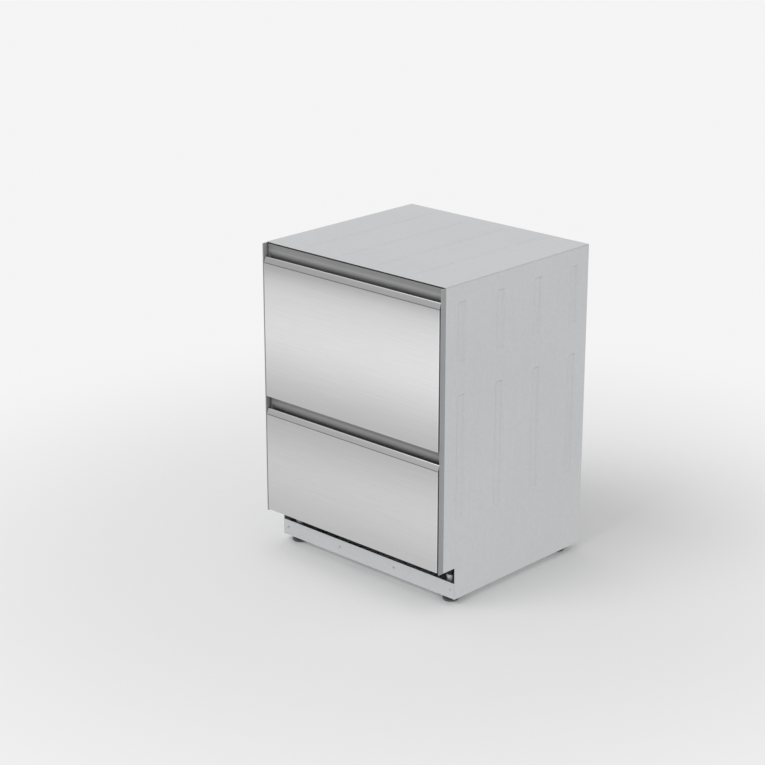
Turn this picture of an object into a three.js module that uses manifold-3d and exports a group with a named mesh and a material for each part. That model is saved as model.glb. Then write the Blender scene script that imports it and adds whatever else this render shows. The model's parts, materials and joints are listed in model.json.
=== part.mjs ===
// A built-in double-drawer dishwasher, 599 mm wide: a sheet-steel chassis with two wash drawers.
// Millimetres. +X is right seen from the front, the fronts face -Y, +Z is up.
// The origin is the middle of the footprint on the floor, with the levelling feet wound in.
import * as THREE from "three";
import { mergeVertices } from "three/addons/utils/BufferGeometryUtils.js";
import Module from "manifold-3d";

const wasm = await Module();
wasm.setup();

// ---- Driving dimensions: overall ----
const WIDTH = 599;
const HEIGHT = 820;
const DEPTH = 571;
const FIT = 0.3; // gap between seated pieces
const SHEET = 1.2; // folded steel sheet
const MOULDING = 2.5; // moulded wall of trims and fascias

// ---- Driving dimensions: drawer fronts and the grip recess ----
const TOE_HEIGHT = 105; // floor to the lower front
const LOWER_FRONT = 278; // lower front, bottom edge to lip top
const RECESS = 35; // grip opening above each lip
const FRONT_GAP = 1; // upper front's bottom edge below its module's floor line
const SIDE_GAP = 2.5; // front to side trim
const TRIM_SETBACK = 1.5;
const TRIM_CHAMFER = 1;
const LIP_HEIGHT = 15;
const LIP_LEAN = 5;
const LIP_ROUND = 2;
const LIP_FOLD = 42; // how far the lip is folded down inside
const BEND = 0.4; // inside of a bend lies this much below the outside
const FRONT_RETURN = 18;
const RETURN_HEM = 10;
const GROOVE_DEPTH = 0.7;
const GROOVE_HEIGHT = 1.6;
const GROOVE_END = 5;
const GRIP_DEPTH = 16.5; // front plane to the fascia face
const GRIP_BACK = 36; // front plane to the back of the finger channel
const GRIP_FLOOR = 28; // lip top down to the channel's floor
const UPSTAND = 12; // channel's front wall
const COVE_TOP = 20;
const COVE_BOTTOM = -14;
const COVE_PULL = 12; // how far above its lower end the cove's control point lies
const FASCIA_HEAD = 5; // control strip below the top of the grip opening
const FASCIA_BACK = 42.5;
const RIB_PITCH = 100;
const RIB_WALL = 2;

// ---- Driving dimensions: chassis ----
const CONNECTORS = 20; // how far the water and power connections stand behind the back panel
const CHASSIS_SETBACK = 17.5; // front plane to the panels' front edges
const PAN_BOTTOM = 16;
const PAN_WALL = 26;
const TOE_SETBACK = 60;
const TOE_PLATE_TOP = 58;
const CENTRE_RAIL_HEIGHT = 16;
const CENTRE_RAIL_SHEET = 1.5;
const FASCIA_CLEAR = 1.5; // fascia top to the centre rail
const EDGE_FOLD = 12; // folded edges of the side panels
const TOP_FOLD = 6;
const PRESSING_MARGIN = 30;
const TOP_PRESSINGS = 4;
const TOP_PRESSING_PITCH = 120;
const TOP_PRESSING_WIDTH = 30;
const BACK_PRESSINGS = 4;
const BACK_PRESSING_INSET = 90;
const BACK_PRESSING_WIDTH = 40;
const BACK_PRESSING_BOTTOM = 260;
const PRESSING_DEPTH = 1.2;
const PAN_PRESSINGS = 3;
const PAN_PRESSING_PITCH = 150;
const PAN_PRESSING_WIDTH = 40;
const PAN_PRESSING_DEPTH = 3;
const FOOT_INSET_X = 34.5;
const FOOT_INSET_FRONT = 85;
const FOOT_INSET_BACK = 50;
const FOOT_RADIUS = 20;
const FOOT_PAD = 8;
const STEM_RADIUS = 5;
const STEM_TOP = 105;
const SPANNER_RADIUS = 11; // hexagon, across its corners
const BOSS_TOP = 68;
const BOSS_WALL = 6;

// ---- Driving dimensions: connections at the back ----
const CONNECTION_Z = 72;
const INLET_X = -190;
const INLET_RADIUS = 13; // three-quarter inch thread
const INLET_BORE = 8;
const INLET_BODY = 34;
const COIL_RADIUS = 12;
const COIL_HEIGHT = 28;
const DRAIN_X = -110;
const DRAIN_RADIUS = 9;
const DRAIN_BARB = 10.5;
const DRAIN_BORE = 6.5;
const DRAIN_NECK = 11; // radius where it passes the back panel
const FLANGE = 5; // thickness and reach of the connections' flanges
const POWER_X = 180;
const POWER_WIDTH = 50;
const POWER_HEIGHT = 28;
const POWER_DEPTH = 35;
const SOCKET_WIDTH = 26;
const SOCKET_HEIGHT = 16;
const SOCKET_DEPTH = 17;

// ---- Driving dimensions: tub ----
const TUB_WALL = 3;
const TUB_CORNER = 45;
const TUB_BOTTOM_ROUND = 24;
const RIM_GAP = 1; // rim to the back of the finger channel
const HOSE_SPACE = 18;
const RIM_OVERHANG = 10;
const RIM_THICKNESS = 3;
const RIM_RISE = 1; // rim above the lip top
const MOTOR_SPACE = 56; // under the tub
const UNDER_GAP = 4; // moving drawer over what is fixed below it
const SUMP_RADIUS = 66;
const SUMP_DEPTH = 20;
const LEDGE_HEIGHT = 44;
const LEDGE_LENGTH = 40;
const LEDGE_REACH = 10;
const LEDGE_DROP = 14; // depth of the wedge at the wall
const BRACKET_WIDTH = 32;
const MOTOR_RADIUS = 44;
const OUTLET_RADIUS = 12;
const OUTLET_REACH = 92;
const OUTLET_X = 30;

// ---- Driving dimensions: runners ----
const RAIL_HEIGHT = 45;
const RAIL_DEPTH = 12;
const RAIL_SHEET = 1.5;
const RAIL_BALL_GAP = 3; // room for the balls between two rails
const RAIL_RISE = 65; // tub bottom to the runner's middle
const RAIL_END_GAP = 10;
const RAIL_BOSS = 15.7; // tub wall to the inner rail
const SCREW_SLOTS = 3;
const SCREW_INSET = 60;
const SCREW_SLOT_LENGTH = 16;
const SCREW_SLOT_HEIGHT = 5;
const TUB_RIB = 3;
const CAGE_WIDTH = 2.4;

// ---- Driving dimensions: lids ----
const SEAL_WIDTH = 5;
const SEAL_HEIGHT = 5.7;
const LID_WALL = 3;
const LID_HEIGHT = 14;
const LID_RIB = 5;
const LUG_WIDTH = 12;
const LUG_HEIGHT = 5;
const LUG_LIFT = 3; // lid's bottom edge up to the lug
const LUG_GAP = 2;
const GUIDE_WALL = 2;
const GUIDE_RISE = 16;
const GUIDE_SPACING = 300;
const LID_CORNER = 14;
const LID_RIB_WALL = 3;
const LID_RIBS = 4;
const LID_CROSS_RIBS = 2;
const LID_RIB_INSET = 60;

// ---- Driving dimensions: inside the tub ----
const WIRE = 4; // frame wire
const THIN_WIRE = 3;
const RACK_SIDE_GAP = 3;
const RACK_FRONT_GAP = 28;
const RACK_HEAD = 60; // rim down to the rack's top wire
const FLOOR_DROP = 10; // rack floor below its lower frame wire
const CROSS_WIRES = 6;
const CROSS_INSET = 34;
const LONG_WIRES = 6;
const LONG_INSET = 62;
const TINE_ROW_SPACING = 95;
const TINE_HEIGHT = 72;
const TINE_PITCH = 34;
const TINE_LEAN = 8; // degrees back from upright
const TINE_MARGIN = 24; // tines to what stands beside them
const CLIP_WIDTH = 8;
const CLIP_LENGTH = 10;
const CUP_SHELF_WIDTH = 88;
const CUP_SHELF_BARS = 5;
const CUP_SHELF_BEND = 10;
const BASKET_WIDTH = 62;
const BASKET_LENGTH = 210;
const BASKET_WALL = 2.4;
const BASKET_HEAD = 90;
const BASKET_CORNER = 8;
const BASKET_OFFSET = 20; // basket's middle in front of the fold-down row
const BASKET_EDGE = 14; // closed band above and below the side slots
const BASKET_BAYS = 3;
const DIVIDER_WALL = 2;
const FILTER_OVERLAP = 22; // filter's edge outside the sump
const FILTER_SLOTS = 8;
const SLOT_WIDTH = 4;
const CUP_DEPTH = 14;
const CUP_GAP = 16; // coarse filter cup to the sump wall
const ARM_LENGTH = 400;
const ARM_THICKNESS = 10;
const ARM_CLEARANCE = 12; // blade tip to the tub wall
const BLADE_ROOT = 19; // half the blade's width at the hub
const BLADE_TIP = 11; // radius of the blade's end
const NOZZLES = 4;
const NOZZLE_RADIUS = 2.2;
const HUB_RADIUS = 20;
const PIN_RADIUS = 6;
const DISPENSER_WIDTH = 150;
const DISPENSER_HEIGHT = 84;
const DISPENSER_DEPTH = 17;
const DISPENSER_HEAD = 40; // rim down to the dispenser's top
const CUP_WIDTH = 46;
const CUP_MARGIN = 16;
const RINSE_RADIUS = 11;
const DOOR_WIDTH = 54;
const DOOR_GRIP = 4;
const TRACK = 4; // depth of the door's tracks
const TRACK_LIP = 11;
const TRACK_WALL = 8;

// ---- Driving dimensions: buttons ----
const BUTTON_LENGTH = 18;
const BUTTON_WIDTH = 9;
const BUTTON_PROUD = 0.8;
const BUTTON_STEM = 8;
const BUTTON_TRAVEL = 1.5;
const BUTTON_FLANGE = 2; // wall of the well round a button
const BUTTON_PITCH = 36;
const BUTTON_FROM_END = 60;

// ---- Derived places ----
const HALF = WIDTH / 2;
const FRONT = -DEPTH / 2;
const BACK = DEPTH / 2 - CONNECTORS;
const INNER = HALF - SHEET; // inner face of a side panel
const FRONT_HALF = HALF - MOULDING - SIDE_GAP;
const CHASSIS_FRONT = FRONT + CHASSIS_SETBACK;
const TRIM_BOTTOM = TOE_HEIGHT - 5;
const UPPER_LIP = HEIGHT - RECESS;
const LOWER_LIP = TOE_HEIGHT + LOWER_FRONT;
const UPPER_BOTTOM = LOWER_LIP + RECESS - FRONT_GAP;
const FASCIA_TOP = RECESS - FASCIA_HEAD;
const CENTRE_RAIL_BOTTOM = LOWER_LIP + FASCIA_TOP + FASCIA_CLEAR;
const CENTRE_RAIL_TOP = CENTRE_RAIL_BOTTOM + CENTRE_RAIL_HEIGHT;
// Both drawers share one tub, so the shallower of their two spaces sets its drop below the lip.
const UPPER_DROP = UPPER_LIP - CENTRE_RAIL_TOP - UNDER_GAP;
const LOWER_DROP = LOWER_LIP - TOE_PLATE_TOP - UNDER_GAP;
const DROP = Math.min(UPPER_DROP, LOWER_DROP);
const TUB_BOTTOM = MOTOR_SPACE - DROP;
const TUB_FLOOR = TUB_BOTTOM + TUB_WALL;
const TUB_FRONT = FRONT + GRIP_BACK + MOULDING + RIM_GAP + RIM_OVERHANG;
const TUB_BACK = BACK - SHEET - HOSE_SPACE - RIM_OVERHANG;
const RAIL_STACK = RAIL_DEPTH + 2 * FIT;
const TUB_HALF = INNER - RAIL_STACK - RAIL_BOSS;
const TUB_INNER = TUB_HALF - TUB_WALL;
const RAIL_Z = TUB_BOTTOM + RAIL_RISE;
const RAIL_FRONT = CHASSIS_FRONT + RAIL_END_GAP;
const RAIL_BACK = BACK - SHEET - RAIL_END_GAP;
const LID_BOTTOM = RIM_RISE + FIT + SEAL_HEIGHT;
const LID_HALF = TUB_HALF + RIM_OVERHANG;
const LID_FRONT = FRONT + FASCIA_BACK + 2 * FIT;
const LID_BACK = TUB_BACK + RIM_OVERHANG;
const RACK_HALF = TUB_INNER - RACK_SIDE_GAP - WIRE / 2;
const RACK_FRONT = TUB_FRONT + TUB_WALL + RACK_FRONT_GAP;
const RACK_BACK = TUB_BACK - TUB_WALL - RACK_SIDE_GAP - WIRE / 2;
const RACK_BOTTOM = TUB_FLOOR + LEDGE_HEIGHT + FIT + WIRE / 2;
const RACK_TOP = RIM_RISE - RACK_HEAD;
const WELD = 0.7; // how deep two welded wires sink into each other

// ---- Finishes ----
const finish = (color, roughness, metalness) => () =>
  new THREE.MeshStandardMaterial({ color, roughness, metalness });
const brushedSteel = finish(0xc4c5c7, 0.38, 1);
const zincSheet = finish(0xb4b6b8, 0.5, 0.9);
const runnerSteel = finish(0xa9abad, 0.35, 1);
const darkMoulding = finish(0x6f7173, 0.55, 0);
const fasciaGrey = finish(0x8d8f91, 0.45, 0.2);
const tubGrey = finish(0xb9bcbe, 0.5, 0);
const lidGrey = finish(0xcfd1d2, 0.55, 0);
const coatedWire = finish(0x9da0a3, 0.45, 0);
const sealRubber = finish(0x3a3b3d, 0.8, 0);
const motorBlack = finish(0x2c2d2f, 0.6, 0.1);
const whitePlastic = finish(0xe6e7e8, 0.5, 0);

// ---- Solid modelling helpers ----
const X = new THREE.Vector3(1, 0, 0);
const Y = new THREE.Vector3(0, 1, 0);
const Z = new THREE.Vector3(0, 0, 1);

// Steps per millimetre that every corner is rounded to, so that faces meant to be flush are exactly flush.
const GRID = 512;

// A closed three.js geometry as a solid that can be cut and joined.
function solid(geometry) {
  const bare = geometry.clone();
  bare.deleteAttribute("normal");
  bare.deleteAttribute("uv");
  const positions = bare.attributes.position.array;
  positions.forEach((value, i) => (positions[i] = Math.round(value * GRID) / GRID));
  const merged = mergeVertices(bare, 1e-4);
  const mesh = new wasm.Mesh({
    numProp: 3,
    vertProperties: new Float32Array(merged.attributes.position.array),
    triVerts: new Uint32Array(merged.index.array),
  });
  return new wasm.Manifold(mesh);
}

// The solid's triangles as a three.js geometry.
function geometryOf(body) {
  const mesh = body.getMesh();
  const geometry = new THREE.BufferGeometry();
  geometry.setAttribute("position", new THREE.BufferAttribute(mesh.vertProperties, 3));
  geometry.setIndex(new THREE.BufferAttribute(mesh.triVerts, 1));
  geometry.computeVertexNormals();
  return geometry;
}

const join = (bodies) => bodies.reduce((sum, body) => sum.add(body));
const cut = (body, tools) => body.subtract(join(tools));

function box([x0, x1], [y0, y1], [z0, z1]) {
  const geometry = new THREE.BoxGeometry(x1 - x0, y1 - y0, z1 - z0);
  geometry.translate((x0 + x1) / 2, (y0 + y1) / 2, (z0 + z1) / 2);
  return solid(geometry);
}

const outline = (points) => new THREE.Shape(points.map(([u, v]) => new THREE.Vector2(u, v)));

function extruded(shape, depth, basis, offset, curveSegments = 2) {
  const geometry = new THREE.ExtrudeGeometry(shape, { depth, bevelEnabled: false, curveSegments });
  geometry.applyMatrix4(basis);
  geometry.translate(...offset);
  return solid(geometry);
}

// A section drawn in Y and Z, run from x0 to x1.
function alongX(shape, [x0, x1], curveSegments = 2) {
  const basis = new THREE.Matrix4().makeBasis(Y, Z, X);
  return extruded(shape, x1 - x0, basis, [x0, 0, 0], curveSegments);
}

// A section drawn in X and Z, run from y0 to y1.
function alongY(shape, [y0, y1]) {
  const basis = new THREE.Matrix4().makeBasis(X, Z, Y.clone().negate());
  return extruded(shape, y1 - y0, basis, [0, y1, 0]);
}

// A plan drawn in X and Y, raised from z0 to z1.
function alongZ(shape, [z0, z1], curveSegments = 1) {
  return extruded(shape, z1 - z0, new THREE.Matrix4(), [0, 0, z0], curveSegments);
}

// A rectangle with round corners, as a plan.
function roundedPlan([x0, x1], [y0, y1], radius) {
  const plan = new THREE.Shape();
  plan.moveTo(x0 + radius, y0);
  plan.lineTo(x1 - radius, y0);
  plan.absarc(x1 - radius, y0 + radius, radius, -Math.PI / 2, 0, false);
  plan.absarc(x1 - radius, y1 - radius, radius, 0, Math.PI / 2, false);
  plan.absarc(x0 + radius, y1 - radius, radius, Math.PI / 2, Math.PI, false);
  plan.absarc(x0 + radius, y0 + radius, radius, Math.PI, 1.5 * Math.PI, false);
  return plan;
}

// A solid of revolution about a vertical axis; the profile is radius and height pairs.
function turned(profile, [x, y], segments = 16) {
  const points = profile.map(([r, z]) => new THREE.Vector2(r, z));
  const geometry = new THREE.LatheGeometry(points, segments);
  geometry.rotateX(Math.PI / 2);
  geometry.translate(x, y, 0);
  return solid(geometry);
}

const rod = (radius, [z0, z1], place, segments = 12) =>
  turned([[0, z0], [radius, z0], [radius, z1], [0, z1]], place, segments);

// A round bar along +Y, for connections through the back panel.
function barAlongY(radius, [y0, y1], [x, z], segments = 12) {
  const geometry = new THREE.CylinderGeometry(radius, radius, y1 - y0, segments);
  geometry.translate(x, (y0 + y1) / 2, z);
  return solid(geometry);
}

// A path through given corners, with a ring of the section at each corner.
class WirePath extends THREE.Curve {
  constructor(corners) {
    super();
    this.corners = corners.map((corner) => new THREE.Vector3(...corner));
  }
  getPoint(t) {
    const at = t * (this.corners.length - 1);
    const index = Math.min(Math.floor(at + 1e-9), this.corners.length - 2);
    return this.corners[index].clone().lerp(this.corners[index + 1], at - index);
  }
  getPointAt(u) {
    return this.getPoint(u);
  }
  getSpacedPoints() {
    return this.corners.map((corner) => corner.clone());
  }
  getTangentAt(u) {
    const step = 0.25 / (this.corners.length - 1);
    const ahead = this.getPoint(Math.min(1, u + step));
    return ahead.sub(this.getPoint(Math.max(0, u - step))).normalize();
  }
}

function wire(corners, diameter, sides = 4) {
  const section = new THREE.Shape();
  section.absarc(0, 0, diameter / 2, 0, 2 * Math.PI, false);
  const path = new WirePath(corners);
  const geometry = new THREE.ExtrudeGeometry(section, {
    extrudePath: path,
    steps: corners.length - 1,
    curveSegments: sides / 2, // a full circle gets two segments for each
  });
  return solid(geometry);
}

// A closed loop of wire, level at height z, with bent corners.
function wireLoop([x0, x1], [y0, y1], z, bend, diameter) {
  const middle = (y0 + y1) / 2;
  const half = (xa, xb, past) => {
    const inward = Math.sign(xb - xa) * bend;
    return [
      [xa + (xb - xa) / 2 - Math.sign(xb - xa) * past, y0, z],
      [xb - inward, y0, z],
      [xb - inward * 0.29, y0 + bend * 0.29, z],
      [xb, y0 + bend, z],
      [xb, middle, z],
      [xb, y1 - bend, z],
      [xb - inward * 0.29, y1 - bend * 0.29, z],
      [xb - inward, y1, z],
      [xa + (xb - xa) / 2 - Math.sign(xb - xa) * past, y1, z],
    ];
  };
  return join([wire(half(x0, x1, 1), diameter, 6), wire(half(x1, x0, 0), diameter, 6)]);
}

// Evenly spaced places from first to last, both included.
const spread = (first, last, count) =>
  Array.from({ length: count }, (_, i) => first + ((last - first) * i) / (count - 1));

// Places at an even pitch about the middle.
const centred = (pitch, count) => spread((-pitch * (count - 1)) / 2, (pitch * (count - 1)) / 2, count);

// A span of the given width about a middle.
const about = (middle, width) => [middle - width / 2, middle + width / 2];

const mirrorX = (body) => body.mirror([1, 0, 0]);
const bothSides = (body) => join([body, mirrorX(body)]);
const flipped = (body, z) => body.translate([0, 0, -z]).mirror([0, 0, 1]).translate([0, 0, z]);

function piece(group, name, body, material) {
  const mesh = new THREE.Mesh(geometryOf(body), material());
  mesh.name = name;
  group.add(mesh);
}

// ---- Chassis ----
// Side panel on the right, with folded front and back edges and the guides for both lids.
function sidePanel() {
  const top = HEIGHT - SHEET - FIT;
  const toe = FRONT + TOE_SETBACK;
  const web = alongX(outline([
    [toe, PAN_BOTTOM],
    [BACK, PAN_BOTTOM],
    [BACK, top],
    [CHASSIS_FRONT, top],
    [CHASSIS_FRONT, TRIM_BOTTOM],
    [toe, TRIM_BOTTOM],
  ]), [INNER, HALF]);
  const foldBack = BACK - SHEET - FIT;
  const fold = box([INNER - EDGE_FOLD, HALF], [foldBack - SHEET, foldBack], [PAN_BOTTOM, top]);
  return join([web, fold, ...lidGuides(UPPER_LIP), ...lidGuides(LOWER_LIP)]);
}

// Upright channels that the lid's lugs slide in, each with a stop under the lug.
function lidGuides(lip) {
  const reach = [LID_HALF + LUG_GAP, INNER + FIT];
  const cheek = LUG_WIDTH / 2 + FIT;
  const stop = lip + LID_BOTTOM + LUG_LIFT - FIT;
  const rise = [stop - GUIDE_WALL, stop + GUIDE_RISE];
  return about(0, GUIDE_SPACING).flatMap((y) => [
    box(reach, [y - cheek - GUIDE_WALL, y - cheek], rise),
    box(reach, [y + cheek, y + cheek + GUIDE_WALL], rise),
    box(reach, [y - cheek, y + cheek], [stop - GUIDE_WALL, stop]),
  ]);
}
// Thin strip that closes the gap between the chassis and the cabinet beside it.
function sideTrim() {
  const front = FRONT + TRIM_SETBACK;
  const section = outline([
    [HALF - MOULDING, front + TRIM_CHAMFER],
    [HALF - MOULDING + TRIM_CHAMFER, front],
    [HALF, front],
    [HALF, CHASSIS_FRONT - FIT],
    [HALF - MOULDING, CHASSIS_FRONT - FIT],
  ]);
  return alongZ(section, [TRIM_BOTTOM, HEIGHT - SHEET - FIT]);
}

function topPanel() {
  const back = BACK - PRESSING_MARGIN;
  const edgeX = INNER - FIT;
  const plate = box([-HALF, HALF], [CHASSIS_FRONT, BACK], [HEIGHT - SHEET, HEIGHT]);
  const edge = box([edgeX - SHEET, edgeX], [CHASSIS_FRONT + TOP_FOLD, back], [HEIGHT - TOP_FOLD, HEIGHT]);
  const pressings = centred(TOP_PRESSING_PITCH, TOP_PRESSINGS).map((x) =>
    box(about(x, TOP_PRESSING_WIDTH), [TUB_FRONT, back], [HEIGHT - SHEET - PRESSING_DEPTH, HEIGHT]));
  return join([plate, bothSides(edge), ...pressings]);
}

function backPanel() {
  const half = HALF - SHEET - FIT;
  const top = HEIGHT - SHEET - FIT;
  const inside = BACK - SHEET;
  const through = [inside - PRESSING_DEPTH - 1, BACK + 1];
  const plate = box([-half, half], [inside, BACK], [PAN_BOTTOM + PAN_WALL + FIT, top]);
  const end = half - BACK_PRESSING_INSET;
  const pressings = spread(-end, end, BACK_PRESSINGS).map((x) => {
    const height = [BACK_PRESSING_BOTTOM, top - 2 * PRESSING_MARGIN];
    return box(about(x, BACK_PRESSING_WIDTH), [inside - PRESSING_DEPTH, inside + FIT], height);
  });
  const inletHole = barAlongY(INLET_RADIUS + 2 * FIT, through, [INLET_X, CONNECTION_Z]);
  const drainHole = barAlongY(DRAIN_NECK + 2 * FIT, through, [DRAIN_X, CONNECTION_Z]);
  const powerHole = box(about(POWER_X, POWER_WIDTH + 2 * FIT), through,
    about(CONNECTION_Z, POWER_HEIGHT + 2 * FIT));
  return cut(join([plate, ...pressings]), [inletHole, drainHole, powerHole]);
}

// Tray under the lower drawer, with the four foot bosses.
function basePan() {
  const wall = SHEET + FIT;
  const half = INNER - FIT;
  const front = FRONT + TOE_SETBACK + SHEET + FIT;
  const back = BACK - 2 * SHEET - FIT - 2 * wall;
  const floor = PAN_BOTTOM + wall;
  const outer = box([-half, half], [front, back], [PAN_BOTTOM, PAN_BOTTOM + PAN_WALL]);
  const inner = box([-half + wall, half - wall], [front + wall, back - wall], [floor, HEIGHT]);
  const bosses = footPlaces().map((place) => rod(STEM_RADIUS + BOSS_WALL, [PAN_BOTTOM, BOSS_TOP], place));
  const bores = footPlaces().map((place) => rod(STEM_RADIUS + FIT, [0, HEIGHT], place));
  const length = [front + PRESSING_MARGIN, back - PRESSING_MARGIN];
  const pressings = centred(PAN_PRESSING_PITCH, PAN_PRESSINGS).map((x) =>
    box(about(x, PAN_PRESSING_WIDTH), length, [floor - FIT, floor + PAN_PRESSING_DEPTH]));
  return cut(join([outer.subtract(inner), ...bosses, ...pressings]), bores);
}

const footPlaces = () => [
  [-HALF + FOOT_INSET_X, FRONT + FOOT_INSET_FRONT],
  [HALF - FOOT_INSET_X, FRONT + FOOT_INSET_FRONT],
  [-HALF + FOOT_INSET_X, BACK - FOOT_INSET_BACK],
  [HALF - FOOT_INSET_X, BACK - FOOT_INSET_BACK],
];

// Levelling foot: pad, hexagon for the spanner and threaded stem in one.
function foot(place) {
  const chamfer = 1.5;
  const edge = 5;
  const shoulder = SPANNER_RADIUS + 1;
  const pad = turned([
    [0, 0],
    [FOOT_RADIUS - chamfer, 0],
    [FOOT_RADIUS, chamfer],
    [FOOT_RADIUS, edge],
    [shoulder, FOOT_PAD],
    [0, FOOT_PAD],
  ], place);
  const hexagon = rod(SPANNER_RADIUS, [FOOT_PAD - 0.5, PAN_BOTTOM - FIT], place, 6);
  const stem = rod(STEM_RADIUS, [FOOT_PAD, STEM_TOP], place, 8);
  return join([pad, hexagon, stem]);
}

// Plate behind the toe space, with an ear folded back at each end.
function baseFrontPlate() {
  const front = FRONT + TOE_SETBACK;
  const half = INNER - FIT;
  const plate = box([-half, half], [front, front + SHEET], [PAN_BOTTOM, TOE_PLATE_TOP]);
  const earBottom = PAN_BOTTOM + PAN_WALL + FIT;
  const ear = box([half - EDGE_FOLD, half], [front + SHEET - 0.1, front + SHEET + EDGE_FOLD],
    [earBottom, TOE_PLATE_TOP - 1]);
  return join([plate, bothSides(ear)]);
}

// Folded cross-member between the two drawers, open at the back.
function centreRail() {
  const front = CHASSIS_FRONT + FRONT_GAP + 0.5;
  const back = LID_FRONT - 6;
  const bottom = CENTRE_RAIL_BOTTOM;
  const top = CENTRE_RAIL_TOP;
  const t = CENTRE_RAIL_SHEET;
  const section = outline([
    [front, bottom],
    [front, top],
    [back, top],
    [back, top - t],
    [front + t, top - t],
    [front + t, bottom + t],
    [back, bottom + t],
    [back, bottom],
  ]);
  const half = INNER - FIT;
  const end = box([half - t, half], [front, back], [bottom, top]);
  return join([alongX(section, [-half, half]), bothSides(end)]);
}

// Water inlet valve: body inside the chassis, threaded spigot through the back panel.
function inletValve() {
  const place = [INLET_X, CONNECTION_Z];
  const inside = BACK - SHEET - 2 * FIT;
  const flange = barAlongY(INLET_RADIUS + FLANGE - 2, [inside - FLANGE, inside], place);
  const spigot = barAlongY(INLET_RADIUS, [inside - FLANGE - 3, BACK + CONNECTORS], place);
  const body = barAlongY(INLET_BODY / 3, [BACK - INLET_BODY, inside - FLANGE + 1], place);
  const coilPlace = [INLET_X, BACK - INLET_BODY + COIL_RADIUS - 2];
  const coil = rod(COIL_RADIUS, [CONNECTION_Z, CONNECTION_Z + COIL_HEIGHT], coilPlace);
  const bore = barAlongY(INLET_BORE, [BACK - FLANGE, BACK + CONNECTORS + 1], place);
  return cut(join([flange, spigot, body, coil]), [bore]);
}

// Barbed spigot for the drain hose.
function drainSpigot() {
  const place = [DRAIN_X, CONNECTION_Z];
  const inside = BACK - SHEET - 2 * FIT;
  const end = BACK + CONNECTORS;
  const tube = barAlongY(DRAIN_RADIUS, [inside - CONNECTORS, end], place);
  const flange = barAlongY(DRAIN_NECK + FLANGE - 1, [inside - FLANGE, inside], place);
  const neck = barAlongY(DRAIN_NECK, [inside - 1, BACK + FLANGE], place);
  const barbs = [7, 12].map((inset) => barAlongY(DRAIN_BARB, [end - inset - 2.5, end - inset], place));
  const bore = barAlongY(DRAIN_BORE, [inside - CONNECTORS - 1, end + 1], place);
  return cut(join([tube, flange, neck, ...barbs]), [bore]);
}

// Terminal box with a recessed power inlet.
function powerInlet() {
  const inside = BACK - SHEET - FIT;
  const mouth = BACK + 3;
  const socketFloor = mouth - SOCKET_DEPTH;
  const body = box(about(POWER_X, POWER_WIDTH), [mouth - POWER_DEPTH, mouth],
    about(CONNECTION_Z, POWER_HEIGHT));
  const flange = box(about(POWER_X, POWER_WIDTH + 3 * FLANGE), [inside - FLANGE / 2, inside],
    about(CONNECTION_Z, POWER_HEIGHT + 2 * FLANGE));
  const socket = box(about(POWER_X, SOCKET_WIDTH), [socketFloor, mouth + 1],
    about(CONNECTION_Z, SOCKET_HEIGHT));
  const pins = centred(SOCKET_WIDTH / 4, 3).map((dx) =>
    box(about(POWER_X + dx, 2), [socketFloor - 1, mouth - 5], about(CONNECTION_Z, 6)));
  return join([body.add(flange).subtract(socket), ...pins]);
}

// ---- Runners ----
// Each runner is three nested channels. Sections are drawn for the right side, from the side panel inwards:
// u is the distance from the panel and v the height about the runner's middle.
function channel(uWeb, uLips, halfHeight, lipTurn) {
  const x = (u) => INNER - u;
  const t = RAIL_SHEET * Math.sign(uLips - uWeb);
  const [bottom, top] = about(RAIL_Z, 2 * halfHeight);
  return outline([
    [x(uWeb), bottom],
    [x(uWeb), top],
    [x(uLips), top],
    [x(uLips), top - lipTurn],
    [x(uLips - t), top - lipTurn],
    [x(uLips - t), top - RAIL_SHEET],
    [x(uWeb + t), top - RAIL_SHEET],
    [x(uWeb + t), bottom + RAIL_SHEET],
    [x(uLips - t), bottom + RAIL_SHEET],
    [x(uLips - t), bottom + lipTurn],
    [x(uLips), bottom + lipTurn],
    [x(uLips), bottom],
  ]);
}
const OUTER_HALF = RAIL_HEIGHT / 2;
const MID_HALF = OUTER_HALF - RAIL_SHEET - RAIL_BALL_GAP;
const INNER_HALF = MID_HALF - RAIL_SHEET - RAIL_BALL_GAP;
const LIP_TURN = RAIL_SHEET + RAIL_BALL_GAP - 0.8;
const FLAT_LIP = RAIL_SHEET + 0.01; // the inner two rails' lips are flat, without a turned edge
const RAIL_WEB_U = FIT;
const RAIL_FACE_U = RAIL_DEPTH + FIT;
const MID_WEB_U = RAIL_WEB_U + RAIL_SHEET + 2;
const MID_LIP_U = RAIL_FACE_U - RAIL_SHEET - 0.6;
const INNER_LIP_U = MID_WEB_U + RAIL_SHEET + 0.6;

function outerRail() {
  const section = channel(RAIL_WEB_U, RAIL_FACE_U, OUTER_HALF, LIP_TURN);
  return alongY(section, [RAIL_FRONT, RAIL_BACK]);
}

// The middle channel carries both ball cages, as plain strips above and below it.
function middleRail() {
  const bar = alongY(channel(MID_WEB_U, MID_LIP_U, MID_HALF, FLAT_LIP), [RAIL_FRONT, RAIL_BACK]);
  const centre = INNER - (MID_WEB_U + RAIL_SHEET + MID_LIP_U) / 2 + 0.5;
  const length = about((RAIL_BACK + RAIL_FRONT) / 2, (RAIL_BACK - RAIL_FRONT) / 2);
  const strip = (v0, v1) => box(about(centre, CAGE_WIDTH), length, [RAIL_Z + v0, RAIL_Z + v1]);
  const cages = join([
    strip(MID_HALF - 0.2, OUTER_HALF - RAIL_SHEET - FIT),
    strip(INNER_HALF + FIT, MID_HALF - RAIL_SHEET + 0.2),
  ]);
  return join([bar, cages, flipped(cages, RAIL_Z)]);
}

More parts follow.
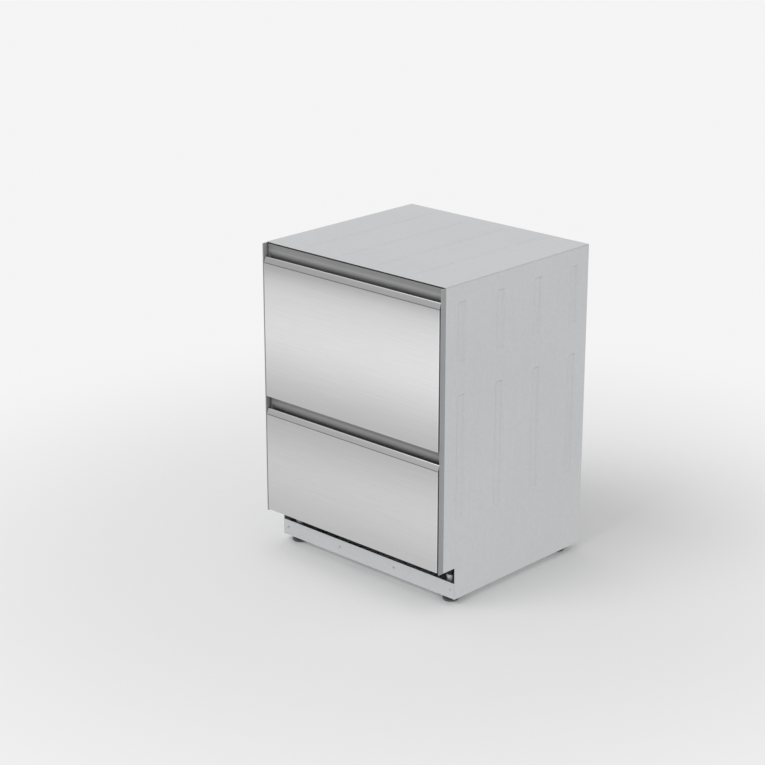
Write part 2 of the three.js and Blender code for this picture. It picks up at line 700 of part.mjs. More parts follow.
function innerRail() {
  const bar = alongY(channel(RAIL_FACE_U, INNER_LIP_U, INNER_HALF, FLAT_LIP), [RAIL_FRONT, RAIL_BACK]);
  const face = INNER - RAIL_FACE_U;
  const slots = spread(RAIL_FRONT + SCREW_INSET, RAIL_BACK - SCREW_INSET, SCREW_SLOTS).map((y) =>
    box([face - 1, face + RAIL_SHEET + 1], about(y, SCREW_SLOT_LENGTH), about(RAIL_Z, SCREW_SLOT_HEIGHT)));
  return cut(bar, slots);
}

// ---- Drawer front ----
// The folded steel skin: flat face, leaning lip rounded over and folded down inside, hemmed returns.
function frontPanel(bottom) {
  const y = (offset) => FRONT + offset;
  const inner = LIP_LEAN + 2 * LIP_ROUND;
  const skin = new THREE.Shape();
  skin.moveTo(y(1), bottom);
  skin.lineTo(y(0), bottom + 1);
  skin.lineTo(y(0), -LIP_HEIGHT);
  skin.lineTo(y(LIP_LEAN), -LIP_ROUND);
  skin.absarc(y(LIP_LEAN + LIP_ROUND), -LIP_ROUND, LIP_ROUND, Math.PI, 0, true);
  skin.lineTo(y(inner), -LIP_FOLD);
  skin.lineTo(y(inner - SHEET), -LIP_FOLD);
  skin.lineTo(y(inner - SHEET), -LIP_ROUND - BEND);
  skin.lineTo(y(LIP_LEAN + SHEET), -LIP_ROUND - BEND);
  skin.lineTo(y(SHEET), -LIP_HEIGHT - BEND);
  skin.lineTo(y(SHEET), bottom + SHEET);
  skin.lineTo(y(FRONT_RETURN - SHEET), bottom + SHEET);
  skin.lineTo(y(FRONT_RETURN - SHEET), bottom + RETURN_HEM);
  skin.lineTo(y(FRONT_RETURN), bottom + RETURN_HEM);
  skin.lineTo(y(FRONT_RETURN), bottom);
  const face = alongX(skin, [-FRONT_HALF, FRONT_HALF]);
  const sideHeight = [bottom, -LIP_FOLD - SHEET];
  const side = box([FRONT_HALF - SHEET, FRONT_HALF], [y(SHEET / 2), y(FRONT_RETURN)], sideHeight);
  const hem = box([FRONT_HALF - RETURN_HEM, FRONT_HALF],
    [y(FRONT_RETURN - SHEET), y(FRONT_RETURN)], sideHeight);
  const grooveHalf = FRONT_HALF - GROOVE_END;
  const groove = box([-grooveHalf, grooveHalf], [y(-1), y(GROOVE_DEPTH)], about(-LIP_HEIGHT, GROOVE_HEIGHT));
  return cut(join([face, bothSides(side.add(hem)), bothSides(lipEnd())]), [groove]);
}

// Plate that closes each end of the hollow lip.
function lipEnd() {
  const front = FRONT + SHEET / 2;
  const back = FRONT + LIP_LEAN + 2 * LIP_ROUND - SHEET / 2;
  const section = outline([
    [front, -LIP_FOLD - SHEET],
    [front, -LIP_HEIGHT],
    [front + LIP_LEAN, -LIP_ROUND],
    [back, -LIP_ROUND],
    [back, -LIP_FOLD - SHEET],
  ]);
  return alongX(section, [FRONT_HALF - SHEET, FRONT_HALF]);
}

// ---- Grip fascia ----
const FASCIA_HALF = FRONT_HALF - FIT;
const CHANNEL_FRONT = LIP_LEAN + 2 * LIP_ROUND + FIT;
const UPSTAND_TOP = -GRIP_FLOOR + UPSTAND;
const COVE_STEPS = 5;

// The face that fingers meet: control strip, flat, cove, channel floor and upstand.
function fasciaSection() {
  const y = (offset) => FRONT + offset;
  const t = MOULDING;
  const shape = new THREE.Shape();
  shape.moveTo(y(FASCIA_BACK), FASCIA_TOP);
  shape.lineTo(y(GRIP_DEPTH + 1), FASCIA_TOP);
  shape.lineTo(y(GRIP_DEPTH), FASCIA_TOP - 1);
  shape.lineTo(y(GRIP_DEPTH), COVE_TOP);
  shape.quadraticCurveTo(y(GRIP_DEPTH + 2), COVE_BOTTOM + COVE_PULL, y(GRIP_BACK), COVE_BOTTOM);
  shape.lineTo(y(GRIP_BACK), -GRIP_FLOOR + 4);
  shape.lineTo(y(GRIP_BACK - 4), -GRIP_FLOOR);
  shape.lineTo(y(CHANNEL_FRONT + t), -GRIP_FLOOR);
  shape.lineTo(y(CHANNEL_FRONT + t), UPSTAND_TOP);
  shape.lineTo(y(CHANNEL_FRONT), UPSTAND_TOP);
  shape.lineTo(y(CHANNEL_FRONT), -GRIP_FLOOR - t);
  shape.lineTo(y(GRIP_BACK - 3), -GRIP_FLOOR - t);
  shape.lineTo(y(GRIP_BACK + t), -GRIP_FLOOR + 3);
  shape.lineTo(y(GRIP_BACK + t), COVE_BOTTOM + 1);
  shape.quadraticCurveTo(y(GRIP_DEPTH + 2 + t), COVE_BOTTOM + COVE_PULL + 1.5,
    y(GRIP_DEPTH + t), COVE_TOP + 1);
  shape.lineTo(y(GRIP_DEPTH + t), FASCIA_TOP - t);
  shape.lineTo(y(FASCIA_BACK - t), FASCIA_TOP - t);
  shape.lineTo(y(FASCIA_BACK - t), RIM_RISE + FIT);
  shape.lineTo(y(FASCIA_BACK), RIM_RISE + FIT);
  return shape;
}

// Web that fills the hollow behind the face; closes the ends and stiffens the middle.
function fasciaWeb(thickness, x) {
  const y = (offset) => FRONT + offset;
  const web = new THREE.Shape();
  web.moveTo(y(GRIP_DEPTH + 1), FASCIA_TOP - 1);
  web.lineTo(y(GRIP_DEPTH + 1), COVE_TOP);
  web.quadraticCurveTo(y(GRIP_DEPTH + 3), COVE_BOTTOM + COVE_PULL + 1, y(GRIP_BACK + 1), COVE_BOTTOM + 1);
  web.lineTo(y(GRIP_BACK + MOULDING), COVE_BOTTOM + 1);
  web.lineTo(y(GRIP_BACK + MOULDING), RIM_RISE + FIT + 1);
  web.lineTo(y(FASCIA_BACK - 1), RIM_RISE + FIT + 1);
  web.lineTo(y(FASCIA_BACK - 1), FASCIA_TOP - 1);
  return alongX(web, [x - thickness / 2, x + thickness / 2], COVE_STEPS);
}

const buttonPlaces = () => {
  const last = FASCIA_HALF - BUTTON_FROM_END;
  return [last - BUTTON_PITCH, last];
};
const BUTTON_Y = FRONT + (GRIP_DEPTH + FASCIA_BACK) / 2;
const WELL_DEPTH = BUTTON_STEM + BUTTON_TRAVEL + 0.5;

const buttonPlan = (x, margin) => roundedPlan(
  about(x, BUTTON_LENGTH + 2 * margin),
  about(BUTTON_Y, BUTTON_WIDTH + 2 * margin),
  BUTTON_WIDTH / 2 + margin - 1);

function gripFascia() {
  const inset = 0.5; // end walls stand just inside the cut ends of the face
  const endX = FASCIA_HALF - inset;
  const face = alongX(fasciaSection(), [-FASCIA_HALF, FASCIA_HALF], COVE_STEPS);
  const end = fasciaWeb(MOULDING, endX - MOULDING / 2);
  const trough = box([endX - MOULDING, endX], [FRONT + CHANNEL_FRONT + 1, FRONT + GRIP_BACK + 1],
    [-GRIP_FLOOR - 1, UPSTAND_TOP - 1]);
  const [firstButton] = buttonPlaces();
  const ribCount = Math.max(2, Math.round((2 * FASCIA_HALF) / RIB_PITCH) - 1);
  const ribXs = spread(-FASCIA_HALF + RIB_PITCH / 2, firstButton - BUTTON_PITCH, ribCount);
  const ribs = ribXs.map((x) => fasciaWeb(RIB_WALL, x));
  const wells = buttonPlaces().map((x) =>
    alongZ(buttonPlan(x, BUTTON_FLANGE), [FASCIA_TOP - WELL_DEPTH - 1.5, FASCIA_TOP - 0.5]));
  const bores = buttonPlaces().map((x) =>
    alongZ(buttonPlan(x, FIT), [FASCIA_TOP - WELL_DEPTH, FASCIA_TOP + 1]));
  return cut(join([face, bothSides(end.add(trough)), ...ribs, ...wells]), bores);
}

// Key cap with a softly domed top edge.
function button(x) {
  const top = FASCIA_TOP + BUTTON_PROUD;
  const stem = alongZ(buttonPlan(x, 0), [FASCIA_TOP - BUTTON_STEM, top - 0.5]);
  const crown = alongZ(buttonPlan(x, -0.5), [FASCIA_TOP - 1, top]);
  return stem.add(crown);
}

// ---- Tub ----
// A rounded box with a round bottom edge, cut level at the top.
function roundedTank(half, [y0, y1], [z0, z1], corner, round) {
  const geometry = new THREE.ExtrudeGeometry(roundedPlan([-half, half], [y0, y1], corner), {
    depth: z1 - z0,
    bevelThickness: round,
    bevelSize: round,
    bevelOffset: -round,
    bevelSegments: 2,
    curveSegments: 2,
  });
  geometry.translate(0, 0, z0 + round);
  const above = box([-half - 1, half + 1], [y0 - 1, y1 + 1], [z1, z1 + 3 * round]);
  return solid(geometry).subtract(above);
}

const SUMP_BOTTOM = TUB_BOTTOM - SUMP_DEPTH;
const SUMP_SIDES = 20;

function tub() {
  const w = TUB_WALL;
  const over = RIM_OVERHANG;
  const shell = roundedTank(TUB_HALF, [TUB_FRONT, TUB_BACK], [TUB_BOTTOM, RIM_RISE],
    TUB_CORNER, TUB_BOTTOM_ROUND);
  const hollow = roundedTank(TUB_INNER, [TUB_FRONT + w, TUB_BACK - w], [TUB_FLOOR, RIM_RISE + 1],
    TUB_CORNER - w, TUB_BOTTOM_ROUND - w);
  const rimPlan = roundedPlan([-TUB_HALF - over, TUB_HALF + over],
    [TUB_FRONT - over, TUB_BACK + over], TUB_CORNER / 2);
  const rim = alongZ(rimPlan, [RIM_RISE - RIM_THICKNESS, RIM_RISE]);
  const sump = rod(SUMP_RADIUS + w, [SUMP_BOTTOM, TUB_BOTTOM + 1], [0, 0], SUMP_SIDES);
  const sumpBore = rod(SUMP_RADIUS, [SUMP_BOTTOM + w, TUB_FLOOR + 1], [0, 0], SUMP_SIDES);
  const outside = join([shell, rim, sump, bothSides(runnerBosses()), bothSides(frontBracket())]);
  return join([cut(outside, [hollow, sumpBore]), bothSides(rackLedges())]);
}

// Two long ribs with webs between them, which the inner rail is screwed to.
function runnerBosses() {
  const reach = [TUB_HALF - 1, INNER - RAIL_FACE_U - FIT];
  const y0 = TUB_FRONT + TUB_CORNER;
  const y1 = TUB_BACK - TUB_CORNER;
  const height = INNER_HALF - 2;
  const ribs = [-height, height - TUB_RIB].map((v) =>
    box(reach, [y0, y1], [RAIL_Z + v, RAIL_Z + v + TUB_RIB]));
  const webs = spread(y0, y1 - TUB_RIB, 5).map((y) =>
    box(reach, [y, y + TUB_RIB], about(RAIL_Z, 2 * height)));
  return join([...ribs, ...webs]);
}

// Upright channel on the tub's front wall that the front panel is screwed to.
function frontBracket() {
  const x = TUB_HALF / 2;
  const reach = FRONT + SHEET + FIT;
  const height = [TUB_BOTTOM + TUB_BOTTOM_ROUND + 4, -LIP_FOLD - 4];
  const [x0, x1] = about(x, BRACKET_WIDTH);
  const cheeks = [x0, x1 - TUB_RIB].map((left) =>
    box([left, left + TUB_RIB], [reach, TUB_FRONT + 1], height));
  const pad = box([x0, x1], [reach, reach + TUB_RIB], height);
  return join([...cheeks, pad]);
}

// Small wedge-shaped shelves that the rack's frame stands on.
function rackLedges() {
  const top = TUB_FLOOR + LEDGE_HEIGHT;
  const tip = TUB_INNER - LEDGE_REACH;
  const section = outline([
    [TUB_INNER + 1, top - LEDGE_DROP],
    [TUB_INNER + 1, top],
    [tip, top],
    [tip, top - 2],
    [TUB_INNER, top - LEDGE_DROP],
  ]);
  const ys = crossYs();
  const middles = [(ys[1] + ys[2]) / 2, (ys.at(-2) + ys.at(-3)) / 2];
  return join(middles.map((y) => alongY(section, about(y, LEDGE_LENGTH))));
}

// ---- Wash system ----
// Pump motor under the sump: flange, can, end cap and the outlet stub.
function washMotor() {
  const top = SUMP_BOTTOM - FIT;
  const bottom = -DROP;
  const capRadius = MOTOR_RADIUS - 10;
  const can = turned([
    [0, bottom],
    [capRadius - 4, bottom],
    [capRadius, bottom + 4],
    [capRadius, bottom + 9],
    [MOTOR_RADIUS, bottom + 10],
    [MOTOR_RADIUS, top - 8],
    [SUMP_RADIUS, top - 6],
    [SUMP_RADIUS, top],
    [0, top],
  ], [0, 0], SUMP_SIDES);
  const outlet = barAlongY(OUTLET_RADIUS, [SUMP_RADIUS / 2, OUTLET_REACH],
    [OUTLET_X, top - OUTLET_RADIUS - 2]);
  const terminals = box([-MOTOR_RADIUS - 8, -MOTOR_RADIUS + 14], [-20, 20], [bottom + 12, top - 8.5]);
  return join([can, outlet, terminals]);
}

// Fine filter over the sump, with slots round the hub that carries the spray arm.
const FILTER_RADIUS = SUMP_RADIUS + FILTER_OVERLAP;
const FILTER_TOP = TUB_FLOOR + FIT + 5;
const ARM_BOTTOM = FILTER_TOP + 8;
function filterPlate() {
  const z = TUB_FLOOR + FIT;
  const pinTop = ARM_BOTTOM + ARM_THICKNESS - 3;
  const plate = turned([
    [0, z],
    [FILTER_RADIUS, z],
    [FILTER_RADIUS - 2, z + 3],
    [HUB_RADIUS, FILTER_TOP],
    [HUB_RADIUS - PIN_RADIUS, ARM_BOTTOM - FIT],
    [PIN_RADIUS, ARM_BOTTOM - FIT],
    [PIN_RADIUS, pinTop],
    [0, pinTop],
  ], [0, 0], SUMP_SIDES);
  const cup = rod(SUMP_RADIUS - CUP_GAP, [z - CUP_DEPTH, z + 1], [0, 0]);
  const slot = box([1.5 * HUB_RADIUS, SUMP_RADIUS - CUP_GAP - 4], about(0, SLOT_WIDTH),
    [z - CUP_DEPTH - 1, ARM_BOTTOM]);
  const slots = Array.from({ length: FILTER_SLOTS }, (_, i) =>
    slot.rotate([0, 0, (i * 360) / FILTER_SLOTS]));
  return cut(join([plate, cup]), slots);
}

// Two swept blades on a hub, with a row of spray holes on each.
function sprayArm() {
  const room = (TUB_BACK - TUB_FRONT) / 2 - TUB_WALL - ARM_CLEARANCE;
  const half = Math.min(ARM_LENGTH / 2, room);
  const bottom = ARM_BOTTOM + 1;
  const top = ARM_BOTTOM + ARM_THICKNESS - 1;
  const sweep = BLADE_TIP - 2; // the tip's middle lies this far ahead of the hub's
  const blade = new THREE.Shape();
  blade.moveTo(-10, -BLADE_ROOT);
  blade.quadraticCurveTo(half * 0.5, -BLADE_ROOT - 1, half - BLADE_TIP - 1, sweep - BLADE_TIP);
  blade.absarc(half - BLADE_TIP - 2, sweep, BLADE_TIP, -Math.PI / 2, Math.PI / 2, false);
  blade.quadraticCurveTo(half * 0.45, BLADE_ROOT + 2, -10, BLADE_ROOT);
  const arm = alongZ(blade, [bottom, top], 3).add(alongZ(bladeCrown(half), [top - 1, top + 2], 3));
  const nozzles = spread(55, half - 16, NOZZLES).map((x) =>
    rod(NOZZLE_RADIUS, [bottom + 3, top + 3], [x, 6], 6));
  const one = cut(arm, nozzles);
  const hub = rod(HUB_RADIUS, [ARM_BOTTOM, top + 4], [0, 0], 16);
  const bore = rod(PIN_RADIUS + FIT, [ARM_BOTTOM - 1, ARM_BOTTOM + ARM_THICKNESS - 3 + FIT], [0, 0], 12);
  return cut(join([one, one.rotate([0, 0, 180]), hub]), [bore]);
}

// Raised spine along a blade.
function bladeCrown(half) {
  const root = BLADE_ROOT / 2;
  const end = half - BLADE_TIP - 5;
  const spine = new THREE.Shape();
  spine.moveTo(0, -root);
  spine.quadraticCurveTo(half * 0.5, -root + 1.5, end, 3);
  spine.lineTo(end, 13);
  spine.quadraticCurveTo(half * 0.45, 13, 0, root);
  return spine;
}

// ---- Rack ----
const RACK_BEND = TUB_CORNER - TUB_WALL;
const FOLD_ROW_Y = (RACK_FRONT + RACK_BACK) / 2;
const FIXED_ROW_Y = FOLD_ROW_Y + TINE_ROW_SPACING;
const THIN = THIN_WIRE / 2;
const FLOOR_WIRE_Z = RACK_BOTTOM - FLOOR_DROP;
const LONG_WIRE_Z = FLOOR_WIRE_Z + THIN_WIRE - WELD;
const CUP_HINGE_X = -(RACK_HALF - WIRE - THIN_WIRE);
const TINE_FIRST = CUP_HINGE_X + CUP_SHELF_WIDTH + TINE_MARGIN - 4;
const BASKET_X = RACK_HALF - WIRE / 2 - THIN_WIRE - FLOOR_DROP - BASKET_WIDTH / 2;
const TINE_LAST = BASKET_X - BASKET_WIDTH / 2 - TINE_MARGIN - 2;
const TINE_COUNT = Math.floor((TINE_LAST - TINE_FIRST) / TINE_PITCH) + 1;
const tineXs = () => Array.from({ length: TINE_COUNT }, (_, i) => TINE_FIRST + i * TINE_PITCH);

// A wire that comes down one wall, crosses the floor and goes up the other wall.
function crossWire(y) {
  const x = RACK_HALF - WIRE / 2 - THIN + WELD;
  const z = FLOOR_WIRE_Z;
  const bend = RACK_BOTTOM - z;
  return wire([
    [-x, y, RACK_TOP],
    [-x, y, z + bend],
    [-x + bend, y, z],
    [x - bend, y, z],
    [x, y, z + bend],
    [x, y, RACK_TOP],
  ], THIN_WIRE);
}

function longWire(x) {
  const front = RACK_FRONT + WIRE / 2 + THIN - WELD;
  const back = RACK_BACK - WIRE / 2 - THIN + WELD;
  const z = LONG_WIRE_Z;
  const bend = RACK_BOTTOM - z;
  return wire([
    [x, front, RACK_TOP],
    [x, front, z + bend],
    [x, front + bend, z],
    [x, back - bend, z],
    [x, back, z + bend],
    [x, back, RACK_TOP],
  ], THIN_WIRE);
}

function leaningTine(x, y, z) {
  const lean = THREE.MathUtils.degToRad(TINE_LEAN);
  const tip = [x, y + TINE_HEIGHT * Math.sin(lean), z + TINE_HEIGHT * Math.cos(lean)];
  return wire([[x, y, z], tip], THIN_WIRE);
}

const AXLE_Z = LONG_WIRE_Z + THIN + FIT + THIN;
const longXs = () => spread(-RACK_HALF + LONG_INSET, RACK_HALF - LONG_INSET, LONG_WIRES);
const crossYs = () => spread(RACK_FRONT + CROSS_INSET, RACK_BACK - CROSS_INSET, CROSS_WIRES);
// The floor wires that cross the rows of tines.
const tinedXs = () => longXs().filter((x) => x > TINE_FIRST - TINE_MARGIN && x < TINE_LAST + TINE_MARGIN);

function dishRack() {
  const loops = [RACK_BOTTOM, RACK_TOP].map((z) =>
    wireLoop([-RACK_HALF, RACK_HALF], [RACK_FRONT, RACK_BACK], z, RACK_BEND, WIRE));
  const cross = crossYs().map(crossWire);
  const long = longXs().map(longWire);
  const rowZ = LONG_WIRE_Z + THIN_WIRE - WELD;
  const [first, last] = [tineXs()[0] - 20, tineXs().at(-1) + 20];
  const row = wire([[first, FIXED_ROW_Y, rowZ], [last, FIXED_ROW_Y, rowZ]], THIN_WIRE);
  const tines = tineXs().map((x) => leaningTine(x, FIXED_ROW_Y, rowZ));
  return join([...loops, ...cross, ...long, row, ...tines, ...axleClips(), ...cupHooks()]);
}

// Moulded clips that hold the fold-down row's axle on the floor wires.
function axleClips() {
  return [tinedXs()[0], tinedXs().at(-1)].map((x) => {
    const height = [LONG_WIRE_Z - 1, AXLE_Z + THIN + 2.5];
    const block = box(about(x, CLIP_WIDTH), about(FOLD_ROW_Y, CLIP_LENGTH), height);
    const bore = new THREE.CylinderGeometry(THIN + FIT, THIN + FIT, 2 * CLIP_WIDTH, 10);
    bore.rotateZ(Math.PI / 2);
    bore.translate(x, FOLD_ROW_Y, AXLE_Z);
    return block.subtract(solid(bore));
  });
}

// The fold-down row: an axle with leaning tines.
function foldTines() {
  const clips = tinedXs();
  const first = Math.min(tineXs()[0], clips[0]) - 10;
  const last = Math.max(tineXs().at(-1), clips.at(-1)) + 10;
  const axle = wire([[first, FOLD_ROW_Y, AXLE_Z], [last, FOLD_ROW_Y, AXLE_Z]], THIN_WIRE);
  const clear = CLIP_WIDTH / 2 + THIN + FIT;
  const free = tineXs().filter((x) => clips.every((clip) => Math.abs(clip - x) > clear));
  return join([axle, ...free.map((x) => leaningTine(x, FOLD_ROW_Y, AXLE_Z))]);
}

// ---- Cup shelf ----
const CUP_HINGE_Z = RIM_RISE - 4 - THIN_WIRE - CUP_SHELF_WIDTH; // folded up, the shelf stays under the rim
const EAR = 4.5; // material round the hinge wire

// Moulded hooks on the rack's left wall: an ear round the shelf's hinge wire, and a ledge under the shelf.
function cupHooks() {
  const wall = -(RACK_HALF - WIRE / 2 - THIN + WELD);
  return hookYs().map((y) => {
    const ear = box([wall - 1, CUP_HINGE_X + EAR], about(y, CLIP_WIDTH), about(CUP_HINGE_Z, 2 * EAR));
    const ledge = box([wall, CUP_HINGE_X + 3 * EAR], about(y, 2.5 * CLIP_WIDTH),
      [CUP_HINGE_Z - EAR - 1, CUP_HINGE_Z - THIN - FIT]);
    const bore = new THREE.CylinderGeometry(THIN + FIT, THIN + FIT, 3 * CLIP_WIDTH, 10);
    bore.translate(CUP_HINGE_X, y, CUP_HINGE_Z);
    return ear.add(ledge).subtract(solid(bore));
  });
}

const hookYs = () => [crossYs()[1], crossYs().at(-2)];

function cupShelf() {
  const [y0, y1] = [hookYs()[0] - CLIP_WIDTH, hookYs()[1] + CLIP_WIDTH];
  const outer = CUP_HINGE_X + CUP_SHELF_WIDTH;
  const z = CUP_HINGE_Z;
  const bend = CUP_SHELF_BEND;
  const hinge = wire([[CUP_HINGE_X, y0, z], [CUP_HINGE_X, y1, z]], THIN_WIRE);
  const frame = wire([
    [CUP_HINGE_X, y0 + 1, z],
    [outer - bend, y0 + 1, z],
    [outer, y0 + 1 + bend, z],
    [outer, y1 - 1 - bend, z],
    [outer - bend, y1 - 1, z],
    [CUP_HINGE_X, y1 - 1, z],
  ], THIN_WIRE);
  const inset = 3 * CUP_SHELF_BEND;
  const bars = spread(y0 + inset, y1 - inset, CUP_SHELF_BARS).map((y) =>
    wire([[CUP_HINGE_X, y, z], [outer, y, z]], THIN_WIRE));
  return join([hinge, frame, ...bars]);
}

// ---- Cutlery basket ----
const BASKET_BOTTOM = LONG_WIRE_Z + THIN + FIT;
const BASKET_TOP = RIM_RISE - BASKET_HEAD;
const BASKET_Y = FOLD_ROW_Y - BASKET_OFFSET;

function cutleryBasket() {
  const [x0, x1] = about(BASKET_X, BASKET_WIDTH);
  const [y0, y1] = about(BASKET_Y, BASKET_LENGTH);
  const t = BASKET_WALL;
  const corner = BASKET_CORNER;
  const bay = BASKET_LENGTH / BASKET_BAYS;
  const outer = alongZ(roundedPlan([x0, x1], [y0, y1], corner), [BASKET_BOTTOM, BASKET_TOP], 2);
  const hollowPlan = roundedPlan([x0 + t, x1 - t], [y0 + t, y1 - t], corner - t);
  const inner = alongZ(hollowPlan, [BASKET_BOTTOM + t, BASKET_TOP + 1], 2);
  const edge = Math.min(BASKET_EDGE, (BASKET_TOP - BASKET_BOTTOM) / 4);
  const slotHeight = [BASKET_BOTTOM + edge, BASKET_TOP - edge];
  const longSlots = spread(y0 + 3 * corner, y1 - 3 * corner, 5).map((y) =>
    box([x0 - 1, x1 + 1], about(y, 28), slotHeight));
  const shortSlots = about(BASKET_X, 28).map((x) =>
    box(about(x, 20), [y0 - 1, y1 + 1], slotHeight));
  const bayYs = spread(y0 + bay / 2, y1 - bay / 2, BASKET_BAYS);
  const floorSlots = bayYs.map((y) =>
    box([x0 + 10, x1 - 10], about(y, bay - 18), [BASKET_BOTTOM - 1, BASKET_BOTTOM + t + 1]));
  const dividers = bayYs.slice(1).map((y) =>
    box([x0 + 1, x1 - 1], about(y - bay / 2, DIVIDER_WALL), [BASKET_BOTTOM + 1, BASKET_TOP - 6]));
  return join([cut(outer, [inner, ...longSlots, ...shortSlots, ...floorSlots]), ...dividers]);
}

// ---- Detergent dispenser ----
const DISPENSER_Y = TUB_FRONT + TUB_WALL + FIT;
const DISPENSER_FACE = DISPENSER_Y + DISPENSER_DEPTH;
const DISPENSER_Z = RIM_RISE - DISPENSER_HEAD - DISPENSER_HEIGHT / 2;
const RINSE_CAP_FACE = DISPENSER_FACE - TRACK + 0.4;
const CUP_X = -DISPENSER_WIDTH / 4;

function dispenser() {
  const half = DISPENSER_WIDTH / 2;
  const [bottom, top] = about(DISPENSER_Z, DISPENSER_HEIGHT);
  const bed = DISPENSER_FACE - TRACK;
  const body = box([-half, half], [DISPENSER_Y, bed], [bottom, top]);
  const cup = box(about(CUP_X, CUP_WIDTH), [DISPENSER_Y + 2, DISPENSER_FACE],
    [bottom + CUP_MARGIN, top - CUP_MARGIN]);
  const track = outline([
    [bed - 1, bottom],
    [DISPENSER_FACE - 1, bottom],
    [DISPENSER_FACE, bottom + 1],
    [DISPENSER_FACE, bottom + TRACK_LIP],
    [DISPENSER_FACE - 1, bottom + TRACK_LIP],
    [DISPENSER_FACE - 1, bottom + TRACK_WALL],
    [bed - 1, bottom + TRACK_WALL],
  ]);
  const lower = alongX(track, [-half, half]);
  const rinseCap = barAlongY(RINSE_RADIUS, [bed - 1, RINSE_CAP_FACE], [0.75 * half + 1, DISPENSER_Z + 14]);
  return join([body.subtract(cup), lower, flipped(lower, DISPENSER_Z), rinseCap]);
}

function dispenserDoor() {
  const [bottom, top] = about(DISPENSER_Z, DISPENSER_HEIGHT - 2 * TRACK_WALL - 2 * FIT);
  const back = RINSE_CAP_FACE + FIT;
  const gripX = CUP_X - DOOR_WIDTH / 2 + DOOR_GRIP;
  const plate = box(about(CUP_X, DOOR_WIDTH), [back, DISPENSER_FACE - 1 - FIT], [bottom, top]);
  const grip = box([gripX, gripX + DOOR_GRIP], [back, DISPENSER_FACE + 2],
    [bottom + CUP_MARGIN, top - CUP_MARGIN]);
  return join([plate, grip]);
}

// ---- Lids ----
function lid() {
  const [y0, y1] = [LID_FRONT, LID_BACK];
  const top = LID_BOTTOM + LID_HEIGHT - LID_RIB;
  const w = LID_WALL + SEAL_WIDTH;
  const shell = alongZ(roundedPlan([-LID_HALF, LID_HALF], [y0, y1], LID_CORNER), [LID_BOTTOM, top]);
  const hollowPlan = roundedPlan([-LID_HALF + w, LID_HALF - w], [y0 + w, y1 - w], LID_CORNER - 4);
  const hollow = alongZ(hollowPlan, [LID_BOTTOM - 1, top - LID_WALL]);
  const ribX = LID_HALF - LID_RIB_INSET;
  const ribs = spread(-ribX, ribX, LID_RIBS).map((x) =>
    box(about(x, LID_RIB_WALL), [y0 + LID_RIB_INSET / 2, y1 - LID_RIB_INSET / 2], [top - 1, top + LID_RIB]));
  const crossRibs = spread(y0 + LID_RIB_INSET, y1 - LID_RIB_INSET, LID_CROSS_RIBS).map((y) =>
    box([-ribX - 1, ribX + 1], about(y, LID_RIB_WALL), [top - 1.5, top + LID_RIB - 1]));
  const lugHeight = [LID_BOTTOM + LUG_LIFT, LID_BOTTOM + LUG_LIFT + LUG_HEIGHT];
  const lugs = about(0, GUIDE_SPACING).map((y) =>
    box([LID_HALF - 4, INNER - LUG_GAP], about(y, LUG_WIDTH), lugHeight));
  return join([cut(shell, [hollow]), ...ribs, ...crossRibs, bothSides(join(lugs))]);
}

// Soft ring under the lid's edge, with a lip that meets the tub's rim.
function lidSeal() {
  const top = LID_BOTTOM - FIT;
  const inset = LID_WALL - 1;
  const corner = LID_CORNER - 2;
  const ring = (outerInset, width, height) => {
    const y0 = LID_FRONT + outerInset;
    const y1 = LID_BACK - outerInset;
    const x = LID_HALF - outerInset;
    const outer = alongZ(roundedPlan([-x, x], [y0, y1], corner), height);
    const holePlan = roundedPlan([-x + width, x - width], [y0 + width, y1 - width], corner - width);
    return outer.subtract(alongZ(holePlan, [height[0] - 1, height[1] + 1]));
  };
  const bead = ring(inset, SEAL_WIDTH, [top - SEAL_HEIGHT / 2, top]);
  const lip = ring(inset + 1.5, 2, [RIM_RISE + FIT, top]);
  return bead.add(lip);
}

// ---- Assembly ----
const machine = new THREE.Group();
machine.name = "double_drawer_dishwasher";

function addChassis(group) {
  const right = sidePanel();
  const trim = sideTrim();
  piece(group, "right_side_panel", right, zincSheet);
  piece(group, "left_side_panel", mirrorX(right), zincSheet);
  piece(group, "right_side_trim", trim, fasciaGrey);
  piece(group, "left_side_trim", mirrorX(trim), fasciaGrey);
  piece(group, "top_panel", topPanel(), zincSheet);
  piece(group, "back_panel", backPanel(), zincSheet);
  piece(group, "base_pan", basePan(), zincSheet);
  piece(group, "base_front_plate", baseFrontPlate(), zincSheet);
  piece(group, "centre_rail", centreRail(), zincSheet);
  piece(group, "inlet_valve", inletValve(), whitePlastic);
  piece(group, "drain_spigot", drainSpigot(), darkMoulding);
  piece(group, "power_inlet", powerInlet(), motorBlack);
  const footNames = ["front_left_foot", "front_right_foot", "rear_left_foot", "rear_right_foot"];
  footPlaces().forEach((place, i) => piece(group, footNames[i], foot(place), darkMoulding));
}

